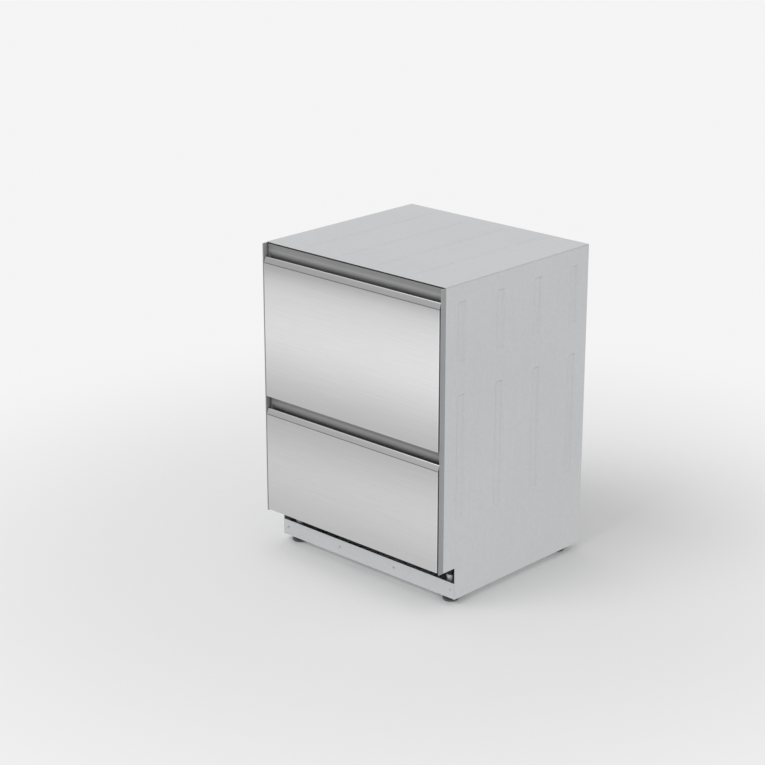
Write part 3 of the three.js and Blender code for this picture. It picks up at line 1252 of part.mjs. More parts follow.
// Everything at one drawer's level; heights are measured from that drawer's lip top.
function addDrawer(level, lip, bottom) {
  const group = new THREE.Group();
  group.name = level + "_drawer";
  group.position.z = lip;
  const add = (name, body, material) => piece(group, level + "_" + name, body, material);
  const runner = { outer_rail: outerRail(), middle_rail: middleRail(), inner_rail: innerRail() };
  for (const [name, body] of Object.entries(runner)) {
    add(name + "_right", body, runnerSteel);
    add(name + "_left", mirrorX(body), runnerSteel);
  }
  add("front_panel", frontPanel(bottom - lip), brushedSteel);
  add("grip_fascia", gripFascia(), fasciaGrey);
  add("power_button", button(buttonPlaces()[0]), darkMoulding);
  add("start_button", button(buttonPlaces()[1]), darkMoulding);
  add("tub", tub(), tubGrey);
  add("wash_motor", washMotor(), motorBlack);
  add("filter_plate", filterPlate(), whitePlastic);
  add("spray_arm", sprayArm(), lidGrey);
  add("dish_rack", dishRack(), coatedWire);
  add("fold_tines", foldTines(), coatedWire);
  add("cup_shelf", cupShelf(), coatedWire);
  add("cutlery_basket", cutleryBasket(), darkMoulding);
  add("dispenser", dispenser(), whitePlastic);
  add("dispenser_door", dispenserDoor(), darkMoulding);
  add("lid", lid(), lidGrey);
  add("lid_seal", lidSeal(), sealRubber);
  machine.add(group);
}

addChassis(machine);
addDrawer("upper", UPPER_LIP, UPPER_BOTTOM);
addDrawer("lower", LOWER_LIP, TOE_HEIGHT);

export default machine;
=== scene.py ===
"""Looks of a built-in drawer dishwasher: finishes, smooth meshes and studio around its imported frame."""
import json
import logging
import math
from dataclasses import dataclass
from enum import Enum
from typing import Callable, Iterable, Optional, Sequence

import bmesh
import bpy
from mathutils import Matrix, Quaternion, Vector


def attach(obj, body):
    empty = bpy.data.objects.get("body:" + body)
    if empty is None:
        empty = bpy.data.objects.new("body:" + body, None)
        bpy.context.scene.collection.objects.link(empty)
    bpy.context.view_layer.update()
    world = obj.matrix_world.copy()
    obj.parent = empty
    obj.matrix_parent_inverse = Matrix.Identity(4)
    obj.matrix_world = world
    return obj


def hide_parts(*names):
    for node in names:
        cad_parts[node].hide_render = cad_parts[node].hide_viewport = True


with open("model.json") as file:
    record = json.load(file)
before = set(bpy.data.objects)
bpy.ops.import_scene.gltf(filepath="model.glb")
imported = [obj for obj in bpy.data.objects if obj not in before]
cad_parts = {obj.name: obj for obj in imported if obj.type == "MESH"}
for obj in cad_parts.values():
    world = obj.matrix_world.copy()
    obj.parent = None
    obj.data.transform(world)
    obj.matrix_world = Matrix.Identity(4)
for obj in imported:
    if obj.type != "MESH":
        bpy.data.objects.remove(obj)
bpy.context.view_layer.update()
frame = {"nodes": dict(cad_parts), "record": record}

LOG = logging.getLogger("dishwasher")
MM = 0.001

Colour = tuple[float, float, float]
Point = tuple[float, float, float]
Span = tuple[float, float]
Tones = tuple[tuple[float, float], ...]
Mesh = bmesh.types.BMesh
Face = bmesh.types.BMFace
Edges = list[bmesh.types.BMEdge]
Socket = bpy.types.NodeSocket


class Side(Enum):
    """Which side of the machine a paired piece is on, seen from the front."""

    LEFT = -1
    RIGHT = 1

    @property
    def label(self) -> str:
        """The side's word in node and body names."""
        return self.name.lower()

    def reach(self, near: float, far: float) -> Span:
        """A span of X drawn for the right side, turned to this side."""
        return (near, far) if self is Side.RIGHT else (-far, -near)


class Level(Enum):
    """The two drawers, each with the heights of its lip top and of its front's bottom edge."""

    UPPER = (785.0, 417.0)
    LOWER = (383.0, 105.0)

    @property
    def label(self) -> str:
        """The level's word in node and body names."""
        return self.name.lower()

    @property
    def lip(self) -> float:
        """Height of the lip top in millimetres."""
        return self.value[0]

    @property
    def front_bottom(self) -> float:
        """Height of the front's bottom edge in millimetres."""
        return self.value[1]


# ---- Materials ----
WHITE: Colour = (1, 1, 1)


class Recipe:
    """Puts together the nodes of one material around its main shader."""

    def __init__(self, name: str) -> None:
        """Start an empty material.

        Args:
            name: the material's name.
        """
        self.material = bpy.data.materials.new(name)
        self.material.use_nodes = True
        self.tree = self.material.node_tree
        self.shader = self.tree.nodes["Principled BSDF"]
        self.coordinates = self.tree.nodes.new("ShaderNodeTexCoord").outputs["Object"]

    def link(self, source: Socket, target: Socket) -> None:
        """Join two sockets."""
        self.tree.links.new(source, target)

    def feed(self, name: str, source: Socket) -> None:
        """Join a socket to an input of the main shader."""
        self.link(source, self.shader.inputs[name])

    def place(self, scale: Point = (1, 1, 1), offset: Point = (0, 0, 0)) -> Socket:
        """Object coordinates, moved and stretched.

        Args:
            scale: factor along each axis.
            offset: metres added along each axis after scaling.

        Returns:
            The vector socket.
        """
        mapping = self.tree.nodes.new("ShaderNodeMapping")
        mapping.inputs["Scale"].default_value = scale
        mapping.inputs["Location"].default_value = offset
        self.link(self.coordinates, mapping.inputs["Vector"])
        return mapping.outputs["Vector"]

    def noise(self, scale: float, detail: float = 3, stretch: Point = (1, 1, 1)) -> Socket:
        """Smooth noise from 0 to 1.

        Args:
            scale: features per metre.
            detail: octaves.
            stretch: factor on the coordinates along each axis.

        Returns:
            The value socket.
        """
        texture = self.tree.nodes.new("ShaderNodeTexNoise")
        texture.inputs["Scale"].default_value = scale
        texture.inputs["Detail"].default_value = detail
        self.link(self.place(stretch), texture.inputs["Vector"])
        return texture.outputs["Fac"]

    def cells(self, scale: float, output: str = "Color") -> Socket:
        """Voronoi cells.

        Args:
            scale: cells per metre.
            output: the texture's output to read.

        Returns:
            The chosen output socket.
        """
        texture = self.tree.nodes.new("ShaderNodeTexVoronoi")
        texture.inputs["Scale"].default_value = scale
        self.link(self.place(), texture.inputs["Vector"])
        return texture.outputs[output]

    def remap(self, value: Socket, low: float, high: float,
              start: float = 0.3, end: float = 0.7) -> Socket:
        """Spread a value between two limits.

        Args:
            value: the socket to read.
            low: result at start.
            high: result at end.
            start: value that gives low.
            end: value that gives high.

        Returns:
            The result socket.
        """
        node = self.tree.nodes.new("ShaderNodeMapRange")
        node.inputs["From Min"].default_value = start
        node.inputs["From Max"].default_value = end
        node.inputs["To Min"].default_value = low
        node.inputs["To Max"].default_value = high
        self.link(value, node.inputs["Value"])
        return node.outputs["Result"]

    def blend(self, factor: Socket, low: Colour, high: Colour) -> Socket:
        """Mix two colours.

        Args:
            factor: 0 gives low, 1 gives high.
            low: first colour.
            high: second colour.

        Returns:
            The colour socket.
        """
        node = self.tree.nodes.new("ShaderNodeMix")
        node.data_type = "RGBA"
        node.inputs["A"].default_value = (*low, 1)
        node.inputs["B"].default_value = (*high, 1)
        self.link(factor, node.inputs["Factor"])
        return node.outputs["Result"]

    def times(self, first: Socket, second: Socket) -> Socket:
        """Multiply two colours.

        Args:
            first: one colour.
            second: the other colour.

        Returns:
            The colour socket.
        """
        node = self.tree.nodes.new("ShaderNodeMix")
        node.data_type = "RGBA"
        node.blend_type = "MULTIPLY"
        node.inputs["Factor"].default_value = 1
        self.link(first, node.inputs["A"])
        self.link(second, node.inputs["B"])
        return node.outputs["Result"]

    def axis(self, name: str) -> Socket:
        """One of the object coordinates, in metres.

        Args:
            name: X, Y or Z.

        Returns:
            The value socket.
        """
        split = self.tree.nodes.new("ShaderNodeSeparateXYZ")
        self.link(self.coordinates, split.inputs["Vector"])
        return split.outputs[name]

    def sum(self, first: Socket, second: Socket) -> Socket:
        """Two values added.

        Args:
            first: one value.
            second: the other value.

        Returns:
            The value socket.
        """
        node = self.tree.nodes.new("ShaderNodeMath")
        self.link(first, node.inputs[0])
        self.link(second, node.inputs[1])
        return node.outputs["Value"]

    def toned(self, value: Socket, tones: Tones, kind: str = "B_SPLINE") -> Socket:
        """Grey that follows a value.

        Args:
            value: from 0 to 1.
            tones: pairs of a place and its grey.
            kind: interpolation.

        Returns:
            The colour socket.
        """
        ramp = self.tree.nodes.new("ShaderNodeValToRGB")
        ramp.color_ramp.interpolation = kind
        elements = ramp.color_ramp.elements
        while len(elements) < len(tones):
            elements.new(0.5)
        for element, (place, grey) in zip(elements, tones):
            element.position = place
            element.color = (grey, grey, grey, 1)
        self.link(value, ramp.inputs["Fac"])
        return ramp.outputs["Color"]

    def bump(self, height: Socket, depth: float, strength: float = 1.0) -> None:
        """Raise the surface by a height map.

        Args:
            height: the socket to read, 0 to 1.
            depth: metres between 0 and 1.
            strength: share of the effect.
        """
        node = self.tree.nodes.new("ShaderNodeBump")
        node.inputs["Distance"].default_value = depth
        node.inputs["Strength"].default_value = strength
        previous = self.shader.inputs["Normal"]
        if previous.is_linked:
            self.link(previous.links[0].from_socket, node.inputs["Normal"])
        self.link(height, node.inputs["Height"])
        self.link(node.outputs["Normal"], self.shader.inputs["Normal"])


def shade(colour: Colour, factor: float) -> Colour:
    """A colour made lighter or darker.

    Args:
        colour: linear red, green and blue.
        factor: multiplier.

    Returns:
        The new colour, kept below 1.
    """
    return tuple(min(1.0, channel * factor) for channel in colour)


@dataclass(frozen=True)
class Finish:
    """A finish: the name of its material, the name of a slot and its colour."""

    name: str
    slot: str
    colour: Colour

    def build(self) -> bpy.types.Material:
        """Make the material.

        Returns:
            The material.
        """
        recipe = Recipe(self.name)
        self.dress(recipe)
        return recipe.material

    def dress(self, recipe: Recipe) -> None:
        """Add the finish's colour, roughness and relief.

        Args:
            recipe: the empty material.
        """
        raise NotImplementedError

    def varied(self, recipe: Recipe, value: Socket, darker: float, lighter: float) -> Socket:
        """The finish's colour, between a darker and a lighter shade of it.

        Args:
            recipe: the material to add to.
            value: noise that chooses between them.
            darker: factor on the colour where the noise is low.
            lighter: factor on the colour where the noise is high.

        Returns:
            The colour socket.
        """
        return recipe.blend(recipe.remap(value, 0, 1), shade(self.colour, darker),
                            shade(self.colour, lighter))


@dataclass(frozen=True)
class Moulded(Finish):
    """Moulded plastic with a fine spark-eroded texture and faint flow marks."""

    roughness: float = 0.48
    grain: float = 2600
    grain_depth: float = 0.00003
    flow: float = 9
    variation: float = 0.05
    # reach and tones: painted light and shade over a span of heights, used on the grip mouldings.
    reach: Span = (0.0, 1.0)
    tones: Tones = ()

    def dress(self, recipe: Recipe) -> None:
        """Add flow marks, painted light and shade over the height where there are tones, and the grain.

        Args:
            recipe: the material to add to.
        """
        tint = self.varied(recipe, recipe.noise(self.flow, 4), 1 - self.variation, 1 + self.variation)
        # Painted light and shade over the height, where tones are given.
        if self.tones:
            height = recipe.remap(recipe.axis("Z"), 0, 1, *self.reach)
            tint = recipe.times(tint, recipe.toned(height, self.tones))
        recipe.feed("Base Color", tint)
        rough = recipe.remap(recipe.noise(60, 3), self.roughness - 0.05, self.roughness + 0.05)
        recipe.feed("Roughness", rough)
        recipe.bump(recipe.noise(self.grain, 2), self.grain_depth)


@dataclass(frozen=True)
class BrushedSteel(Finish):
    """Stainless sheet, horizontally brushed, with painted light and dark zones over its height."""

    # tones is the painted sheen, spread over the heights in metres given by reach.
    reach: Span
    tones: Tones
    roughness: float = 0.34
    half: float = 0.2945
    # tilt slants the painted sheen zones across the width.
    tilt: float = 0.02
    streak: float = 1500
    line: float = 330
    # Painted highlights at both side edges, and painted light growing from left to right.
    side_tones: Tones = ((0.0, 1.0), (0.0035, 1.0), (0.0055, 0.95), (0.9945, 1.0), (0.9965, 1.07))
    lip: float = 0.02
    # Painted shade in the crease and on the lip band, and a painted highlight along the lip's top.
    lip_tones: Tones = (
        (0.0, 1.0), (0.19, 1.0), (0.21, 0.42), (0.29, 0.42), (0.31, 0.83), (0.88, 0.87), (0.93, 1.2))

    def dress(self, recipe: Recipe) -> None:
        """Add the brushed grain, broader lines and the painted sheen.

        Args:
            recipe: the material to add to.
        """
        recipe.shader.inputs["Metallic"].default_value = 1
        streaks = recipe.noise(self.streak, 4, (0.012, 1, 1))
        lines = recipe.noise(self.line, 3, (0.02, 1, 1))
        grain = self.varied(recipe, streaks, 0.95, 1)
        bands = recipe.blend(recipe.remap(lines, 0, 1), (0.955, 0.955, 0.955), WHITE)
        recipe.feed("Base Color", recipe.times(recipe.times(grain, bands), self.sheen(recipe)))
        recipe.feed("Roughness", recipe.remap(streaks, self.roughness - 0.05, self.roughness + 0.06))
        recipe.bump(streaks, 0.00002, 0.6)

    def sheen(self, recipe: Recipe) -> Socket:
        """Painted light and shade: sheen zones, edge and lip-top highlights, a darker lip and crease.

        Args:
            recipe: the material to add to.

        Returns:
            The colour socket.
        """
        across = recipe.axis("X")
        # slant of the painted sheen zones across the width
        lean = recipe.remap(across, self.tilt, -self.tilt, -self.half, self.half)
        height = recipe.sum(recipe.remap(recipe.axis("Z"), 0, 1, *self.reach), lean)
        sides = recipe.toned(recipe.remap(across, 0, 1, -self.half, self.half), self.side_tones, "LINEAR")
        lip = recipe.remap(recipe.axis("Z"), 0, 1, self.reach[1] - self.lip, self.reach[1])
        return recipe.times(recipe.times(recipe.toned(height, self.tones), sides),
                            recipe.toned(lip, self.lip_tones, "LINEAR"))


@dataclass(frozen=True)
class Galvanised(Finish):
    """Zinc-coated sheet with a faint spangle and rolling lines."""

    roughness: float = 0.42
    spangle: float = 150
    line: float = 240

    def dress(self, recipe: Recipe) -> None:
        """Add the spangle, clouds and rolling lines.

        Args:
            recipe: the material to add to.
        """
        recipe.shader.inputs["Metallic"].default_value = 0.85
        flakes = recipe.tree.nodes.new("ShaderNodeRGBToBW")
        recipe.link(recipe.cells(self.spangle), flakes.inputs["Color"])
        facets = recipe.blend(flakes.outputs["Val"], shade(self.colour, 0.965), shade(self.colour, 1.035))
        rolled = recipe.remap(recipe.noise(self.line, 3, (1, 1, 0.02)), 0, 1)
        lines = recipe.blend(rolled, (0.975, 0.975, 0.975), WHITE)
        clouds = recipe.blend(recipe.remap(recipe.noise(3, 2), 0, 1), (0.97, 0.97, 0.97), WHITE)
        recipe.feed("Base Color", recipe.times(recipe.times(facets, clouds), lines))
        rough = recipe.remap(flakes.outputs["Val"], self.roughness - 0.04, self.roughness + 0.05, 0, 1)
        recipe.feed("Roughness", rough)
        recipe.bump(recipe.cells(self.spangle, "Distance"), 0.00001, 0.3)


@dataclass(frozen=True)
class DrawnSteel(Finish):
    """Rolled and drawn runner steel, bright, with long lines and a film of grease."""

    roughness: float = 0.3
    line: float = 900
    grease: Colour = (0.88, 0.87, 0.85)

    def dress(self, recipe: Recipe) -> None:
        """Add the drawn lines and the grease.

        Args:
            recipe: the material to add to.
        """
        recipe.shader.inputs["Metallic"].default_value = 1
        lines = recipe.noise(self.line, 3, (1, 0.01, 1))
        film = recipe.blend(recipe.remap(recipe.noise(22, 4), 0, 1), self.grease, WHITE)
        recipe.feed("Base Color", recipe.times(self.varied(recipe, lines, 0.9, 1.04), film))
        rough = recipe.remap(recipe.noise(40, 3), self.roughness - 0.06, self.roughness + 0.1)
        recipe.feed("Roughness", rough)
        recipe.bump(lines, 0.00002, 0.5)


# Painted sheen: reflections painted as grey over each front's height, darker at top and bottom.
UPPER_PAINTED_SHEEN: Tones = (
    (0.0, 0.655), (0.1, 0.72), (0.2, 0.80), (0.3, 0.89), (0.4, 0.955), (0.5, 1.0), (0.65, 0.965),
    (0.78, 0.90), (0.86, 0.815), (0.91, 0.69), (0.945, 0.58), (0.97, 0.575))
LOWER_PAINTED_SHEEN: Tones = (
    (0.0, 0.84), (0.18, 0.92), (0.35, 0.98), (0.5, 1.0), (0.65, 0.95), (0.8, 0.86), (0.9, 0.80),
    (0.97, 0.78))
# Painted light low in the grip's cove, where it lies in shade, and painted shade towards its top.
GRIP_PAINTED_LIGHT_AND_SHADE: Tones = (
    (0.0, 2.3), (0.39, 2.3), (0.46, 1.9), (0.54, 1.5), (0.61, 1.1), (0.7, 0.8), (0.8, 0.66), (1.0, 0.6))
FINISHES: dict[str, Finish] = {
    "upper_front": BrushedSteel("upper_front_steel", "brushed_front", (0.86, 0.86, 0.86), (0.417, 0.785),
                                UPPER_PAINTED_SHEEN),
    # The lower front is a darker copy of the same steel: painted shade.
    "lower_front": BrushedSteel("lower_front_steel", "brushed_front", (0.70, 0.70, 0.70), (0.105, 0.383),
                                LOWER_PAINTED_SHEEN),
    "upper_grip": Moulded("upper_grip_moulding", "trim_grey", (0.33, 0.33, 0.33), reach=(0.771, 0.817),
                          tones=GRIP_PAINTED_LIGHT_AND_SHADE),
    "lower_grip": Moulded("lower_grip_moulding", "trim_grey", (0.33, 0.33, 0.33), reach=(0.369, 0.415),
                          tones=GRIP_PAINTED_LIGHT_AND_SHADE),
    "chassis_steel": Galvanised("galvanised_sheet", "chassis_steel", (0.60, 0.61, 0.62)),
    "runner_steel": DrawnSteel("runner_zinc", "runner_steel", (0.66, 0.67, 0.68)),
    "trim_grey": Moulded("trim_moulding", "trim_grey", (0.33, 0.335, 0.34)),
    "dark_plastic": Moulded("dark_moulding", "dark_plastic", (0.075, 0.076, 0.08)),
    "motor_black": Moulded("motor_moulding", "motor_black", (0.03, 0.03, 0.032), 0.55),
    "tub_plastic": Moulded("tub_moulding", "tub_plastic", (0.60, 0.62, 0.63), 0.42),
    "lid_plastic": Moulded("lid_moulding", "lid_plastic", (0.62, 0.63, 0.64), 0.45),
    "filter_plastic": Moulded("filter_moulding", "filter_plastic", (0.34, 0.36, 0.38), 0.4),
    "arm_plastic": Moulded("arm_moulding", "arm_plastic", (0.40, 0.42, 0.45), 0.3),
    "coated_wire": Moulded("wire_coating", "coated_wire", (0.22, 0.235, 0.25), 0.35, 1400, 0.00004),
    "basket_plastic": Moulded("basket_moulding", "basket_plastic", (0.12, 0.125, 0.13)),
    "dispenser_plastic": Moulded("dispenser_moulding", "dispenser_plastic", (0.74, 0.75, 0.75), 0.35),
    "white_plastic": Moulded("white_moulding", "white_plastic", (0.78, 0.78, 0.77), 0.4),
    "seal_rubber": Moulded("seal_rubber", "seal_rubber", (0.028, 0.028, 0.03), 0.7, 900, 0.00006),
}


# ---- Shapes, drawn in millimetres ----
SHEET = 1.2  # thickness of the case's folded sheet
FALL = 0.04  # least fall across a flat rim, so that no two of its loops lie level
DOME = ((0.0, 0.42), (0.12, 0.7), (0.4, 0.92), (0.9, 1.0))  # depth and width of a wire end's rings, in radii
ORIGIN = (0, 0, 0)
ALONG_Y = (0, 1, 0)


def around(middle: float, width: float) -> Span:
    """The span of a width about a middle."""
    return (middle - width / 2, middle + width / 2)


def spread(first: float, last: float, count: int) -> list[float]:
    """Evenly spaced places from first to last, both included."""
    return [first + (last - first) * i / (count - 1) for i in range(count)]


def outline_face(mesh: Mesh, corners: Sequence[Point]) -> Face:
    """A flat face through given corners."""
    return mesh.faces.new([mesh.verts.new(corner) for corner in corners])


def plan(mesh: Mesh, x: Span, y: Span, z: float, radius: float, steps: int = 8) -> Face:
    """A level rectangle with round corners.

    Args:
        mesh: the bmesh to add to.
        x: its reach along X.
        y: its reach along Y.
        z: its height.
        radius: of the corners.
        steps: edges round each corner.

    Returns:
        The face, looking up.
    """
    face = outline_face(mesh, [(x[0], y[0], z), (x[1], y[0], z), (x[1], y[1], z), (x[0], y[1], z)])
    if radius <= 0:
        return face
    made = bmesh.ops.bevel(mesh, geom=list(face.verts), offset=radius, offset_type="OFFSET",
                           affect="VERTICES", segments=steps, profile=0.5, material=-1)
    return next(f for f in set(made["faces"]) | {f for v in made["verts"] for f in v.link_faces}
                if len(f.verts) >= 4 * (steps + 1))


def raised(mesh: Mesh, face: Face, shift: Point) -> list[bmesh.types.BMVert]:
    """Extrude a face along a shift, and keep both of its ends.

    Args:
        mesh: the bmesh to change.
        face: the near end.
        shift: from the near end to the far end.

    Returns:
        The vertices of the far end.
    """
    made = bmesh.ops.extrude_face_region(mesh, geom=[face], use_keep_orig=True)
    verts = [part for part in made["geom"] if isinstance(part, bmesh.types.BMVert)]
    bmesh.ops.translate(mesh, vec=shift, verts=verts)
    return verts


def block(mesh: Mesh, x: Span, y: Span, z: Span) -> None:
    """Add a box.

    Args:
        mesh: the bmesh to add to.
        x: its reach along X.
        y: its reach along Y.
        z: its reach along Z.
    """
    size = Matrix.Diagonal((x[1] - x[0], y[1] - y[0], z[1] - z[0], 1))
    middle = Matrix.Translation(((x[0] + x[1]) / 2, (y[0] + y[1]) / 2, (z[0] + z[1]) / 2))
    bmesh.ops.create_cube(mesh, size=1, matrix=middle @ size)


def bar(mesh: Mesh, section: Sequence[Point], shift: Point) -> None:
    """Add a section given as corners, run along a shift."""
    raised(mesh, outline_face(mesh, section), shift)


def cut(mesh: Mesh, faces: Iterable[Face], axis: int, value: float) -> None:
    """Cut faces by a plane square to an axis.

    Args:
        mesh: the bmesh to change.
        faces: the faces to cut.
        axis: 0, 1 or 2 for X, Y or Z.
        value: the plane's place along the axis.
    """
    geometry = list({part for face in faces for part in (face, *face.edges, *face.verts)})
    normal = [float(i == axis) for i in range(3)]
    bmesh.ops.bisect_plane(mesh, geom=geometry, plane_co=[value * n for n in normal], plane_no=normal,
                           dist=0.001)


def turned(mesh: Mesh, profile: Sequence[tuple[float, float]], centre: Point, steps: int = 48,
           axis: Point = (0, 0, 1)) -> None:
    """Add a body turned round an axis.

    Args:
        mesh: the bmesh to add to.
        profile: radius and height pairs, from one end to the other.
        centre: the point of the axis at height 0.
        steps: sides.
        axis: direction of the heights.
    """
    place = Matrix.Translation(centre) @ Vector(axis).to_track_quat("Z", "Y").to_matrix().to_4x4()
    verts = [mesh.verts.new(place @ Vector((radius, 0, height))) for radius, height in profile]
    edges = [mesh.edges.new(pair) for pair in zip(verts, verts[1:])]
    bmesh.ops.spin(mesh, geom=verts + edges, cent=centre, axis=axis, angle=2 * math.pi, steps=steps,
                   use_merge=True, use_duplicate=False)


def fillet(corners: Sequence[Point], radius: float, steps: int = 5) -> list[Vector]:
    """A path whose inner corners are rounded.

    Args:
        corners: the path's corners.
        radius: of each bend, or less between short legs.
        steps: legs in each bend.

    Returns:
        The points of the path.
    """
    points = [Vector(corner) for corner in corners]
    path = [points[0]]
    for before, here, after in zip(points, points[1:], points[2:]):
        back, ahead = (before - here), (after - here)
        turn = math.pi - back.angle(ahead)
        if turn < 0.02:
            path.append(here)
            continue
        reach = min(radius * math.tan(turn / 2), 0.49 * back.length, 0.49 * ahead.length)
        start, end = here + back.normalized() * reach, here + ahead.normalized() * reach
        for i in range(steps + 1):
            t = i / steps
            path.append(start * (1 - t) ** 2 + here * 2 * t * (1 - t) + end * t ** 2)
    path.append(points[-1])
    return path


def station(place: Vector, turn: Quaternion, width: float) -> Matrix:
    """The matrix of one ring of a wire: its place, its turn and its share of the wire's width."""
    return Matrix.Translation(place) @ turn.to_matrix().to_4x4() @ Matrix.Scale(width, 4)


def swept(mesh: Mesh, path: Sequence[Vector], radius: float, sides: int = 10, closed: bool = False) -> None:
    """Add a round wire along a path, with domed ends unless it is closed.

    Args:
        mesh: the bmesh to add to.
        path: points along its middle.
        radius: of the wire.
        sides: faces round it.
        closed: joins the last point to the first.
    """
    count = len(path)
    loop = range(count)
    tangents = []
    for i in loop:
        before = path[i - 1] if closed or i else path[i]
        after = path[(i + 1) % count] if closed or i < count - 1 else path[i]
        tangents.append((after - before).normalized())
    frames = [tangents[0].to_track_quat("Z", "Y")]
    for before, after in zip(tangents, tangents[1:]):
        frames.append(before.rotation_difference(after) @ frames[-1])
    stations = [(path[i], frames[i], 1.0) for i in loop]
    if not closed:
        first = [(path[0] + tangents[0] * radius * depth, frames[0], width) for depth, width in DOME]
        last = [(path[-1] - tangents[-1] * radius * depth, frames[-1], width) for depth, width in DOME]
        stations = first + stations[1:-1] + last[::-1]
    matrices = [station(*values) for values in stations]
    edges = first_edges = circle(mesh, radius, sides, matrices[0])
    if not closed:
        bmesh.ops.contextual_create(mesh, geom=edges)
    for previous, matrix in zip(matrices, matrices[1:]):
        made = bmesh.ops.extrude_edge_only(mesh, edges=edges)["geom"]
        verts = [part for part in made if isinstance(part, bmesh.types.BMVert)]
        edges = [part for part in made if isinstance(part, bmesh.types.BMEdge)]
        bmesh.ops.transform(mesh, matrix=matrix @ previous.inverted(), verts=verts)
    if closed:
        bmesh.ops.bridge_loops(mesh, edges=edges + first_edges)
    else:
        bmesh.ops.contextual_create(mesh, geom=edges)


def circle(mesh: Mesh, radius: float, sides: int, matrix: Matrix) -> Edges:
    """Add an open circle.

    Args:
        mesh: the bmesh to add to.
        radius: of the circle.
        sides: its number of edges.
        matrix: moves it from the origin to its place.

    Returns:
        Its edges.
    """
    made = bmesh.ops.create_circle(mesh, cap_ends=False, segments=sides, radius=radius, matrix=matrix)
    return list(dict.fromkeys(edge for vert in made["verts"] for edge in vert.link_edges))


def ring_loop(mesh: Mesh, x: Span, y: Span, z: float, radius: float, steps: int = 8) -> Edges:
    """The open outline of a rounded rectangle, as edges to bridge from.

    Args:
        mesh: the bmesh to add to.
        x: its reach along X.
        y: its reach along Y.
        z: its height.
        radius: of the corners.
        steps: edges round each corner.

    Returns:
        Its edges.
    """
    face = plan(mesh, x, y, z, radius, steps)
    edges = list(face.edges)
    bmesh.ops.delete(mesh, geom=[face], context="FACES_ONLY")
    return edges


def thickened(mesh: Mesh, thickness: float, rank: Callable[[Face], float], outwards: Point) -> None:
    """Give a skin its thickness, inwards.

    Args:
        mesh: the bmesh to change.
        thickness: of the sheet.
        rank: chooses the face by which the outside is told, the one that ranks highest.
        outwards: direction that this face looks in.
    """
    bmesh.ops.recalc_face_normals(mesh, faces=mesh.faces)
    if max(mesh.faces, key=rank).normal.dot(outwards) < 0:
        bmesh.ops.reverse_faces(mesh, faces=mesh.faces)
    bmesh.ops.solidify(mesh, geom=mesh.faces, thickness=thickness)


def lofted(mesh: Mesh, loops: Sequence[Edges]) -> None:
    """Join loops one after another and close the first and the last.

    Args:
        mesh: the bmesh that holds the loops.
        loops: from one end of the skin to the other.
    """
    for first, second in zip(loops, loops[1:]):
        bmesh.ops.bridge_loops(mesh, edges=first + second)
    for loop in (loops[0], loops[-1]):
        bmesh.ops.contextual_create(mesh, geom=loop)


def bevelled(mesh: Mesh, width: float, segments: int = 2, sharp: float = 32.0,
             edges: Optional[Iterable[bmesh.types.BMEdge]] = None) -> None:
    """Round every edge that is sharper than an angle.

    Args:
        mesh: the bmesh to change.
        width: size of the round.
        segments: rings along the round.
        sharp: degrees.
        edges: the edges to look at, or all.
    """
    limit = math.radians(sharp)
    chosen = [e for e in (edges or mesh.edges) if len(e.link_faces) == 2 and e.calc_face_angle(0) > limit]
    bmesh.ops.bevel(mesh, geom=chosen, offset=width, offset_type="OFFSET", affect="EDGES", segments=segments,
                    profile=0.5, material=-1, clamp_overlap=False)


def copied(node: str, flat: float = 0.5) -> Mesh:
    """A copy of a node's mesh in millimetres, with its loose triangles joined into flat faces.

    Args:
        node: the node's name.
        flat: degrees under which two faces count as one.

    Returns:
        The bmesh.
    """
    mesh = bmesh.new()
    mesh.from_mesh(frame["nodes"][node].data)
    bmesh.ops.scale(mesh, vec=(1 / MM,) * 3, verts=mesh.verts)
    bmesh.ops.remove_doubles(mesh, verts=mesh.verts, dist=0.02)
    bmesh.ops.dissolve_limit(mesh, angle_limit=math.radians(flat), verts=mesh.verts, edges=mesh.edges)
    return mesh


def ring_wall(mesh: Mesh, x: Span, y: Span, z: Span, corner: float, wall: float,
              edge: float = 0.5) -> None:
    """A closed band with round corners and softened edges, standing upright.

    Args:
        mesh: the bmesh to add to.
        x: outer reach along X.
        y: outer reach along Y.
        z: its height span.
        corner: outer corner radius.
        wall: thickness.
        edge: size of the softened edges.
    """
    stations = ((edge, z[0]), (0, z[0] + edge), (0, z[1] - edge), (edge, z[1]), (wall - edge, z[1] - FALL),
                (wall, z[1] - edge), (wall, z[0] + edge), (wall - edge, z[0] + FALL))
    loops = [ring_loop(mesh, (x[0] + inset, x[1] - inset), (y[0] + inset, y[1] - inset), height,
                       max(corner - inset, 1), 7) for inset, height in stations]
    for first, second in zip(loops, loops[1:] + loops[:1]):
        bmesh.ops.bridge_loops(mesh, edges=first + second)


def merged(mesh: Mesh, extra: Mesh) -> None:
    """Add one bmesh to another and use it up.

    Args:
        mesh: the bmesh to add to.
        extra: the bmesh to add.
    """
    data = bpy.data.meshes.new("extra")
    extra.to_mesh(data)
    extra.free()
    mesh.from_mesh(data)
    bpy.data.meshes.remove(data)


def attached(mesh: Mesh, extra: Mesh, width: float, segments: int) -> None:
    """Round an extra's sharp edges and add it.

    Args:
        mesh: the bmesh to add to.
        extra: the bmesh to add; it is used up.
        width: size of the round.
        segments: rings along the round.
    """
    bevelled(extra, width, segments)
    merged(mesh, extra)


